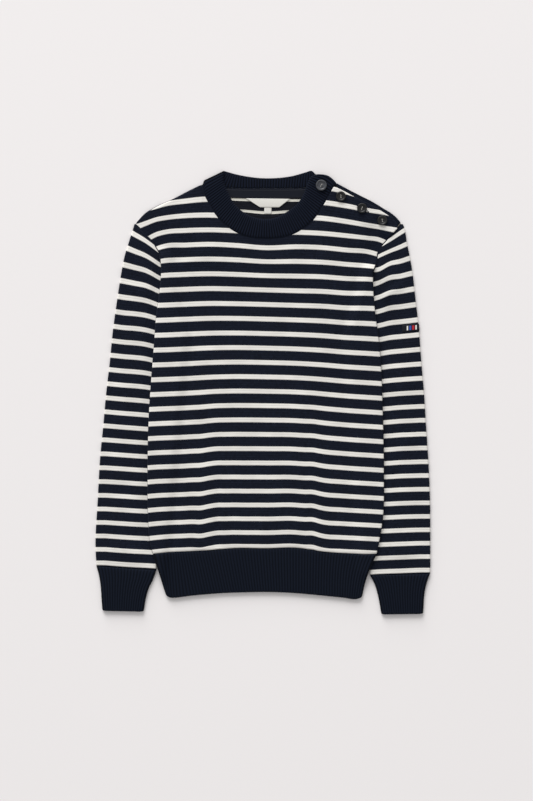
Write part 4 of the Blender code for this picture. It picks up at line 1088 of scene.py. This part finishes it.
PLAIN = plain_knit("plain navy knit", (0.0062, 0.0095, 0.0195, 1), (0.0022, 0.0033, 0.0070, 1))
inward = np.concatenate([np.linspace(1, 0.06, 14), [0.03, 0.01, 0.0]])[:, None]
strip = np.linspace(0, 1, 60)[None, :]
strip_x = PLACKET_ENDS[0] + (PLACKET_ENDS[1] - PLACKET_ENDS[0]) * strip
strip_y = RIGHT_SHOULDER_AT(strip_x)
deep_x = PLACKET_DEPTH[0][0] + (PLACKET_DEPTH[1][0] - PLACKET_DEPTH[0][0]) * strip
deep_y = PLACKET_DEPTH[0][1] + (PLACKET_DEPTH[1][1] - PLACKET_DEPTH[0][1]) * strip
strip_lip = np.concatenate([np.zeros(14), [0.15, 0.5, 1.0]])[:, None]
placket_points = np.stack(
    [strip_x + deep_x * inward, strip_y + deep_y * inward, WALL + OVER + PLACKET_WALL - strip_lip + 0 * strip], -1
)
placket = skin("shoulder_band_knit", placket_points, wale=strip * 118 / WALE + 0 * inward, course=inward * 20 / COURSE + 0 * strip)
placket.data.materials.append(PLAIN)
give_wall(placket, PLACKET_WALL - 0.3)
finish_piece(placket, "rib_knit", "shoulder_placket")


# The neck tape, the label and the size tab
# A charcoal twill tape covers the seam of the back neck. A blank label of off-white satin is
# sewn on it by its upper edge, and a blank tab hangs below it.

TAPE_LOWER = [(-70.0, 312.4), (0.0, 311.2), (82.0, 312.0)]
TAPE_THICK = 0.6
LABEL = [(-4.0, 297.0), (26.0, 297.0), (43.5, 310.5), (-26.5, 311.3)]
LABEL_THICK = 0.4
SIZE_TAB = [(2.5, 286.5), (14.0, 286.5), (14.0, 303.0), (2.5, 303.0)]


def woven(name, light, dark, per_mm, roughness, sheen):
    """A fine weave: threads that pass over and under each other, in two directions."""
    made, n, shader = cloth_material(name, roughness, sheen, (1.0, 1.0, 1.0))
    place = n.tree.nodes.new("ShaderNodeSeparateXYZ")
    n.put(place.inputs[0], n.add("ShaderNodeTexCoord", "Object"))
    turn = 2 * math.pi * 1000 * per_mm
    warp = n.math("SINE", n.math("MULTIPLY", place.outputs["X"], turn))
    weft = n.math("SINE", n.math("MULTIPLY", place.outputs["Y"], turn))
    over = n.between(n.math("MULTIPLY", warp, weft), -1.0, 1.0)
    fibre = n.add("ShaderNodeTexNoise", "Fac", Vector=n.add("ShaderNodeTexCoord", "Object"), Scale=700.0, Detail=2.0)
    # Painted shade: the colour is darker where the weave's surface dips, since the same tone drives the bump. The
    # noise adds random tone.
    tone = n.math("ADD", n.math("MULTIPLY", over, 0.7), n.math("MULTIPLY", fibre, 0.3))
    n.put(shader.inputs["Base Color"], n.blend(tone, dark, light))
    n.put(shader.inputs["Normal"], n.add("ShaderNodeBump", Strength=0.4, Distance=0.0002, Height=tone))
    return made


TAPE = woven("neck tape", (0.0122, 0.0140, 0.0214, 1), (0.0061, 0.0072, 0.0114, 1), 0.9, 0.85, 0.05)
SATIN = woven("label satin", (0.76, 0.745, 0.70, 1), (0.62, 0.605, 0.56, 1), 1.6, 0.6, 0.10)


def strip_between(name, low, high, thickness, seat, rows, bulge):
    """A thin woven piece between two lines of points, with softly rounded long edges."""
    low = np.asarray(low, float)
    high = np.asarray(high, float)
    t = np.linspace(0, 1, rows)[:, None, None]
    flat = low[None] + (high - low)[None] * t
    edge = np.minimum(t, 1 - t)[..., 0] * 2
    z = seat + thickness - 0.25 * thickness * (1 - ease(edge / 0.2)) + bulge * np.sin(math.pi * t[..., 0])
    points = np.concatenate([flat, (z + 0 * flat[..., 0])[..., None]], axis=-1)
    return skin(name, points)


def label_edge(first, last, count):
    t = np.linspace(0, 1, count)[:, None]
    return np.asarray(first, float) * (1 - t) + np.asarray(last, float) * t


seat = WALL + OVER
tape_x = np.linspace(-70, 82, 60)
tape_low = np.stack([tape_x, smooth_line(column(TAPE_LOWER, 0), column(TAPE_LOWER, 1))(tape_x)], -1)
tape_high = np.stack([tape_x, BACK_NECK_AT(tape_x) - CURVED_SEAM], -1)
tape = strip_between("neck_tape_weave", tape_low, tape_high, TAPE_THICK, seat, 9, 0.0)
tape.data.materials.append(TAPE)
give_wall(tape, TAPE_THICK)
finish_piece(tape, "tape", "neck_tape")

seat += TAPE_THICK
label = strip_between("neck_label_satin", label_edge(LABEL[0], LABEL[1], 40), label_edge(LABEL[3], LABEL[2], 40), LABEL_THICK, seat, 12, 0.25)
label.data.materials.append(SATIN)
give_wall(label, LABEL_THICK)
finish_piece(label, "label", "neck_label")

size_tab = strip_between("size_tab_satin", label_edge(SIZE_TAB[0], SIZE_TAB[1], 8), label_edge(SIZE_TAB[3], SIZE_TAB[2], 8), LABEL_THICK, WALL + OVER, 12, 0.15)
size_tab.data.materials.append(SATIN)
give_wall(size_tab, LABEL_THICK)
finish_piece(size_tab, "label", "size_tab")


# The sleeve tab
# A short dark woven tab with plain colour bars, stitched to the wearer's left sleeve so that it
# turns round the sleeve's outer edge.

TAB_WIDTH = 11.5
TAB_THICK = 0.7
TAB_BARS = [  # first x, last x, colour
    (230.2, 232.4, (0.720, 0.710, 0.680, 1)),
    (234.0, 237.4, (0.040, 0.080, 0.330, 1)),
    (239.0, 242.4, (0.430, 0.022, 0.030, 1)),
    (244.0, 246.2, (0.720, 0.710, 0.680, 1)),
]
BAR_HALF = 3.5  # half the length of each bar

tab_woven = woven("sleeve tab weave", (0.0140, 0.0155, 0.0215, 1), (0.0070, 0.0080, 0.0110, 1), 1.4, 0.8, 0.05)
n = Nodes(tab_woven.node_tree)
shader = tab_woven.node_tree.nodes["Principled BSDF"]
colour = shader.inputs["Base Color"].links[0].from_socket
place = n.tree.nodes.new("ShaderNodeSeparateXYZ")
n.put(place.inputs[0], n.add("ShaderNodeTexCoord", "Object"))
slope = (TAB_EDGE[1] - TAB_END[1]) / (TAB_EDGE[0] - TAB_END[0])
line = n.math("MULTIPLY", n.math("SUBTRACT", place.outputs["X"], TAB_END[0] * MM), slope)
aside = n.math("SUBTRACT", n.math("SUBTRACT", place.outputs["Y"], TAB_END[1] * MM), line)
within = n.between(n.math("ABSOLUTE", aside), (BAR_HALF + 0.1) * MM, (BAR_HALF - 0.1) * MM)
for first, last, bar in TAB_BARS:
    middle = (first + last) / 2
    off = n.math("ABSOLUTE", n.math("SUBTRACT", place.outputs["X"], middle * MM))
    half = (last - first) / 2 * MM
    inside = n.math("MULTIPLY", n.between(off, half + 0.0001, half - 0.0001), within)
    colour = n.blend(inside, colour, bar)
n.put(shader.inputs["Base Color"], colour)

tab_rows = []
for aside in np.linspace(-0.5, 0.5, 9):
    lip = 0.25 * (abs(aside) > 0.45)
    y_end = TAB_END[1] + aside * TAB_WIDTH
    y = TAB_EDGE[1] + aside * TAB_WIDTH
    turn_x = float(SLEEVE_AT[1](y)) - ROUND
    reach = ROUND + OVER + TAB_THICK - lip
    top = ROUND + reach
    row = [(TAB_END[0] + (turn_x - TAB_END[0]) * t, y_end + (y - y_end) * t, top - 0.3 * (t < 0.02)) for t in np.linspace(0, 0.96, 22)]
    row += [(turn_x + reach * math.cos(a), y, ROUND + reach * math.sin(a)) for a in np.radians(np.linspace(90, 6, 12))]
    tab_rows.append(row)
sleeve_tab = skin("sleeve_tab_weave", np.array(tab_rows))
sleeve_tab.data.materials.append(tab_woven)
give_wall(sleeve_tab, TAB_THICK)
finish_piece(sleeve_tab, "sleeve_tab", "sleeve_tab")


# The seams
# The pieces are linked to each other with the navy yarn, loop by loop. Each seam is a soft cord
# of stitches that lies in the furrow between two pieces.

n, given = node_tree(
    "Linked seam",
    [
        ("Stitch", "NodeSocketFloat"),
        ("Thick", "NodeSocketFloat"),
        ("Slant", "NodeSocketFloat"),
        ("Core", "NodeSocketFloat"),
        ("Finish", "NodeSocketMaterial"),
    ],
)
path = n.add("GeometryNodeMeshToCurve", Mesh=given["Geometry"])
path = n.add("GeometryNodeResampleCurve", 0, {"mode": "LENGTH"}, Curve=path, Length=given["Stitch"])
loop = n.add("GeometryNodeMeshUVSphere", "Mesh", Segments=6, Rings=5, Radius=0.5)
size = n.add("ShaderNodeCombineXYZ", X=n.math("MULTIPLY", given["Stitch"], 1.25), Y=given["Thick"], Z=given["Thick"])
loop = n.add("GeometryNodeTransform", Geometry=loop, Scale=size)
heading = n.add("FunctionNodeAlignRotationToVector", 0, {"axis": "X"}, Vector=n.add("GeometryNodeInputTangent"))
slanted = n.add("ShaderNodeCombineXYZ", Z=given["Slant"])
heading = n.add("FunctionNodeRotateRotation", 0, {"rotation_space": "LOCAL"}, Rotation=heading, Rotate_By=slanted)
beads = n.add("GeometryNodeInstanceOnPoints", Points=path, Instance=loop, Rotation=heading)
ring = n.add("GeometryNodeCurvePrimitiveCircle", "Curve", Resolution=6, Radius=given["Core"])
core = n.add("GeometryNodeCurveToMesh", Curve=path, Profile_Curve=ring)
both = n.tree.nodes.new("GeometryNodeJoinGeometry")
n.tree.links.new(core, both.inputs[0])
n.tree.links.new(beads, both.inputs[0])
SEAMS = close_tree(n, both.outputs[0], given["Finish"])


def yarn(name, colour, roughness):
    made, n, shader = cloth_material(name, roughness, 0.06, (0.8, 0.85, 1.0))
    fibre = n.add("ShaderNodeTexNoise", "Fac", Vector=n.add("ShaderNodeTexCoord", "Object"), Scale=1500.0, Detail=2.0)
    dark = tuple(c * 0.55 for c in colour[:3]) + (1,)
    n.put(shader.inputs["Base Color"], n.blend(fibre, dark, colour))
    n.put(shader.inputs["Normal"], n.add("ShaderNodeBump", Strength=0.4, Distance=0.0002, Height=fibre))
    return made


NAVY_YARN = yarn("navy linking yarn", (0.0070, 0.0102, 0.0205, 1), 0.88)
PALE_THREAD = yarn("pale thread", (0.75, 0.73, 0.68, 1), 0.7)


def stitched(name, paths, stitch, thick, slant, core, finish):
    """One seam along each path of points in mm, all of them one piece."""
    mesh = bpy.data.meshes.new(name)
    verts = []
    edges = []
    for points in paths:
        base = len(verts)
        verts += [tuple(float(c) * MM for c in p) for p in points]
        edges += [(base + i, base + i + 1) for i in range(len(points) - 1)]
    mesh.from_pydata(verts, edges, [])
    obj = bpy.data.objects.new(name, mesh)
    bpy.context.scene.collection.objects.link(obj)
    made_by(obj, SEAMS, Stitch=stitch * MM, Thick=thick * MM, Slant=slant, Core=core * MM, Finish=finish)
    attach(obj, "root")
    return obj


def neck_seam_path():
    """Along the neckline, between the front panel and the neckband."""
    path = []
    for q in np.linspace(0.012, 0.975, 126):
        ox, oy, ix, iy = COLLAR_AT(q)
        out = Vector((ox - ix, oy - iy)).normalized() * CURVED_SEAM / 2
        x, y = ox + out.x, oy + out.y
        outside = np.array([[x + out.x]]), np.array([[y + out.y]])
        low = COLLAR_BASE + COLLAR_WALL
        beside = float(front_height(*outside)[0, 0])
        path.append((x, y, min(low, beside) - 0.45))
    return path


def armhole_path(side):
    path = []
    for y in np.linspace(SHOULDER - 1, SIDE_TOP[side] - 4, 60):
        x = float(ARMHOLE_AT[side](y)) + side * CURVED_SEAM / 2
        rise = float(lift(np.array([x]), np.array([y]))[0])
        path.append((x, y, FLAT - 0.95 + 0.4 * rise))
    return path


def hem_path():
    path = []
    for q in np.linspace(0.004, 0.996, 120):
        x, y = hem_point(np.array([q]), np.array([0.0]))
        x, y = float(x[0]), float(y[0]) + SEAM / 2
        path.append((x, y, FLAT - 0.75 + float(lift(np.array([x]), np.array([y]))[0])))
    return path


def cuff_path(side):
    outer_end, inner_x, inner_end = CUFF_SEAM[side]
    outer_x = CUFFS[side][0][0]
    t = np.linspace(0.012, 0.99, 40)
    return [(outer_x + (inner_x - outer_x) * s, outer_end + (inner_end - outer_end) * s, FLAT - 0.7) for s in t]


def back_neck_path():
    xs = np.linspace(-66, 80, 70)
    return [(x, float(BACK_NECK_AT(x)) - CURVED_SEAM / 2 + 0.6, WALL + 0.15) for x in xs]


def shoulder_path(side):
    if side < 0:
        xs = np.linspace(-201, -99, 60)
        return [(x, float(LEFT_SHOULDER_AT(x)) - 0.6, ROUND + 0.4) for x in xs]
    xs = np.linspace(121, 207, 50)
    return [(x, right_front_edge(x) + 0.3, FLAT + PLACKET_WALL - 1.2) for x in xs]


def side_path(side):
    path = []
    for y in np.linspace(SIDE_TOP[side] - 4, -256, 150):
        x = float(body_edge(side, y))
        rise = float(lift(np.array([x]), np.array([y]))[0])
        path.append((x - side * 0.35, y, rise + ROUND))
    return path


stitched("neckline_seam", [neck_seam_path(), back_neck_path()], 1.5, 1.5, 0.5, 0.6, NAVY_YARN)
stitched("shoulder_seams", [shoulder_path(-1), shoulder_path(1)], 1.6, 2.2, 0.4, 1.0, NAVY_YARN)
# The side seams are real, and their navy cords along the body's edge also stand in as painted shade in the crevice
# over the sleeves.
stitched("side_seams", [side_path(-1), side_path(1)], 1.8, 1.3, 0.3, 0.6, NAVY_YARN)
stitched("armhole_seams", [armhole_path(-1), armhole_path(1)], 1.6, 2.4, 0.4, 1.05, NAVY_YARN)
stitched("hem_seam", [hem_path()], 1.5, 1.1, 0.5, 0.45, NAVY_YARN)
stitched("cuff_seams", [cuff_path(-1), cuff_path(1)], 1.5, 1.1, 0.5, 0.45, NAVY_YARN)

tape_stitch_z = WALL + OVER + TAPE_THICK + 0.05
upper_row = [(x, y - 1.6, tape_stitch_z) for x, y in tape_high[1:-1]]
lower_row = [(x, y + 1.4, tape_stitch_z) for x, y in tape_low[1:-1]]
stitched("neck_tape_stitches", [upper_row, lower_row], 2.4, 0.35, 0.0, 0.08, yarn("charcoal thread", (0.05, 0.052, 0.06, 1), 0.8))
label_z = WALL + OVER + TAPE_THICK + LABEL_THICK + 0.06
label_row = [(x, y - 1.0, label_z) for x, y in label_edge((-24.0, 311.2), (41.0, 310.6), 30)]
stitched("label_stitches", [label_row], 1.9, 0.3, 0.0, 0.07, PALE_THREAD)


# The four buttons
# Two-hole buttons of dark horn with a raised rim: the first and largest closes the neckband.
# Each is sewn on with pale thread over a short shank, and stays fastened through its buttonhole.

BUTTON_THICK = 3.0
HOLE = 1.7
HOLES_APART = 3.4
BUTTON_PROFILE = [  # share of the radius, share of the thickness, from the middle of the face
    (0.0, 0.60),
    (0.30, 0.595),
    (0.52, 0.60),
    (0.60, 0.63),
    (0.66, 0.74),
    (0.72, 0.90),
    (0.79, 0.985),
    (0.86, 1.0),
    (0.93, 0.95),
    (0.98, 0.83),
    (1.0, 0.66),
    (1.0, 0.44),
    (0.97, 0.28),
    (0.90, 0.12),
    (0.80, 0.02),
    (0.70, 0.0),
    (0.0, 0.0),
]


def horn(name, light, dark, roughness, rings):
    """Polished horn: rings and cloudy streaks round the middle of the button."""
    made = bpy.data.materials.new(name)
    made.use_nodes = True
    n = Nodes(made.node_tree)
    shader = made.node_tree.nodes["Principled BSDF"]
    shader.inputs["Roughness"].default_value = roughness
    shader.inputs["Specular IOR Level"].default_value = 0.35
    ring = n.number("ring")
    cloud = n.add("ShaderNodeTexNoise", "Fac", Vector=n.add("ShaderNodeTexCoord", "Object"), Scale=230.0, Detail=5.0, Distortion=0.8)
    wave = n.math("SINE", n.math("MULTIPLY", n.math("ADD", ring, n.math("MULTIPLY", cloud, 0.22)), rings))
    tone = n.math("ADD", n.math("MULTIPLY", n.between(wave, -1.0, 1.0), 0.45), n.math("MULTIPLY", n.between(cloud, 0.35, 0.65), 0.55))
    n.put(shader.inputs["Base Color"], n.blend(tone, dark, light))
    n.put(shader.inputs["Normal"], n.add("ShaderNodeBump", Strength=0.15, Distance=0.0001, Height=cloud))
    return made


GREY_HORN = horn("grey horn", (0.082, 0.086, 0.098, 1), (0.012, 0.013, 0.016, 1), 0.40, 34.0)
DARK_HORN = horn("dark horn", (0.0090, 0.0090, 0.0098, 1), (0.0030, 0.0030, 0.0034, 1), 0.50, 30.0)


def make_button(number, x, y, diameter, finish, holes_turned):
    low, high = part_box(f"button_{number}")
    base = low.z
    radius = diameter / 2 * MM
    bm = bmesh.new()
    profile = [bm.verts.new((r * radius, 0, h * BUTTON_THICK * MM)) for r, h in BUTTON_PROFILE]
    edges = [bm.edges.new(pair) for pair in zip(profile, profile[1:])]
    bmesh.ops.spin(bm, geom=profile + edges, axis=(0, 0, 1), cent=(0, 0, 0), angle=2 * math.pi, steps=56, use_merge=True)
    bmesh.ops.remove_doubles(bm, verts=bm.verts, dist=0.005 * MM)
    bmesh.ops.recalc_face_normals(bm, faces=bm.faces)
    mesh = bpy.data.meshes.new(f"button_{number}_horn")
    bm.to_mesh(mesh)
    bm.free()
    button = bpy.data.objects.new(f"button_{number}_horn", mesh)
    bpy.context.scene.collection.objects.link(button)
    apart = Vector((math.sin(holes_turned), math.cos(holes_turned), 0)) * HOLES_APART / 2 * MM
    cutters = []
    for sign in (-1, 1):
        hole = bmesh.new()
        bmesh.ops.create_cone(hole, cap_ends=True, segments=20, radius1=HOLE / 2 * MM, radius2=HOLE / 2 * MM, depth=0.02)
        bmesh.ops.translate(hole, verts=hole.verts, vec=apart * sign)
        cutter_mesh = bpy.data.meshes.new("hole")
        hole.to_mesh(cutter_mesh)
        hole.free()
        cutter = bpy.data.objects.new("hole", cutter_mesh)
        bpy.context.scene.collection.objects.link(cutter)
        cut = button.modifiers.new("Hole", "BOOLEAN")
        cut.operation = "DIFFERENCE"
        cut.object = cutter
        cutters.append(cutter)
    evaluated = button.evaluated_get(bpy.context.evaluated_depsgraph_get())
    cut_mesh = bpy.data.meshes.new_from_object(evaluated)
    button.modifiers.clear()
    button.data = cut_mesh
    for cutter in cutters:
        bpy.data.objects.remove(cutter, do_unlink=True)
    ring = cut_mesh.attributes.new("ring", "FLOAT", "POINT")
    ring.data.foreach_set("value", [math.hypot(v.co.x, v.co.y) / radius for v in cut_mesh.vertices])
    cut_mesh.transform(Matrix.Translation((x * MM, y * MM, base)))
    cut_mesh.materials.clear()
    cut_mesh.materials.append(finish)
    cut_mesh.shade_smooth()
    finish_piece(button, "button", f"button_{number}")
    face = base / MM + 0.6 * BUTTON_THICK
    paths = []
    for step in (-0.22, 0.22):
        side_x = math.cos(holes_turned) * step
        side_y = -math.sin(holes_turned) * step
        path = []
        for t in np.linspace(-1, 1, 13):
            down = 1.9 * ease((abs(t) - 0.72) / 0.28)
            px = x + side_x + apart.x / MM * t
            py = y + side_y + apart.y / MM * t
            path.append((px, py, face + 0.1 * (1 - t * t) - 0.02 - down))
        paths.append(path)
    stitched(f"button_{number}_thread", paths, 0.4, 0.13, 0.5, 0.05, PALE_THREAD)
    knots = []
    for sign in (-1, 1):
        px = x + apart.x / MM * sign
        py = y + apart.y / MM * sign
        knots.append([(px, py, face - 0.9), (px, py, face + 0.1)])
    stitched(f"button_{number}_thread_ends", knots, 0.5, 1.4, 0.0, 0.62, PALE_THREAD)
    shank = [(x, y, base / MM - 1.0), (x, y, base / MM + 0.2)]
    stitched(f"button_{number}_shank", [shank], 0.4, 2.6, 0.0, 1.2, PALE_THREAD)


HOLES_TURNED = (0.52, 0.0, 0.35, -0.2)
for number, (x, y, diameter) in enumerate(BUTTONS, 1):
    make_button(number, x, y, diameter, GREY_HORN if number == 1 else DARK_HORN, HOLES_TURNED[number - 1])

# Each buttonhole is a slit along the shoulder, bound all round with close stitches.
HOLE_REACH = 11.5  # half the length of a buttonhole
buttonholes = []
for number, (x, y, diameter) in enumerate(BUTTONS, 1):
    turned = math.radians(-31 if number > 1 else -62)
    middle = Vector((x, y)) + Vector((math.cos(turned), math.sin(turned))) * 1.6
    path = []
    for a in np.linspace(0, 2 * math.pi, 60):
        u = math.copysign(abs(math.cos(a)) ** 0.6, math.cos(a)) * HOLE_REACH
        v = math.sin(a) * 1.15
        px = middle.x + u * math.cos(turned) - v * math.sin(turned)
        py = middle.y + u * math.sin(turned) + v * math.cos(turned)
        if number == 1:
            z = COLLAR_BASE + COLLAR_WALL + 1.25
        else:
            z = float(front_height(np.array([[px]]), np.array([[py]]))[0, 0]) + 0.05
        path.append((px, py, z))
    buttonholes.append(path)
stitched("buttonhole_stitches", buttonholes, 0.9, 1.2, 1.4, 0.25, NAVY_YARN)


# The studio
# The sweater lies on a plain pale surface under a large soft light from beyond the neckband, and
# the camera looks straight down on it.

floor_mesh = bpy.data.meshes.new("floor")
floor_mesh.from_pydata([(-9, -9, 0), (9, -9, 0), (9, 9, 0), (-9, 9, 0)], [], [(0, 1, 2, 3)])
floor = bpy.data.objects.new("floor", floor_mesh)
bpy.context.scene.collection.objects.link(floor)
paper = bpy.data.materials.new("paper")
paper.use_nodes = True
paper_shader = paper.node_tree.nodes["Principled BSDF"]
paper_shader.inputs["Base Color"].default_value = (0.830, 0.802, 0.800, 1)
paper_shader.inputs["Roughness"].default_value = 0.9
paper_shader.inputs["Specular IOR Level"].default_value = 0.1
floor_mesh.materials.append(paper)

world = bpy.data.worlds.new("studio")
world.use_nodes = True
world.node_tree.nodes["Background"].inputs["Color"].default_value = (1.0, 1.0, 1.0, 1)
world.node_tree.nodes["Background"].inputs["Strength"].default_value = 0.555
bpy.context.scene.world = world


def area_light(name, place, aim, size, power):
    data = bpy.data.lights.new(name, "AREA")
    data.shape = "SQUARE"
    data.size = size
    data.energy = power
    light = bpy.data.objects.new(name, data)
    bpy.context.scene.collection.objects.link(light)
    light.location = place
    light.rotation_euler = (Vector(aim) - Vector(place)).to_track_quat("-Z", "Y").to_euler()


area_light("key", (-5.0, 18.0, 7.5), (0, 0, 0), 13.0, 5700.0)

camera_data = bpy.data.cameras.new("camera")
camera_data.lens = 135
camera = bpy.data.objects.new("camera", camera_data)
bpy.context.scene.collection.objects.link(camera)
VIEW_HEIGHT = 1.282  # the length of the surface that the photograph's frame covers
camera.location = (0.0060, -0.0119, VIEW_HEIGHT * 135 / 36)
bpy.context.scene.camera = camera
bpy.context.scene.view_settings.view_transform = "Standard"

bpy.context.view_layer.update()
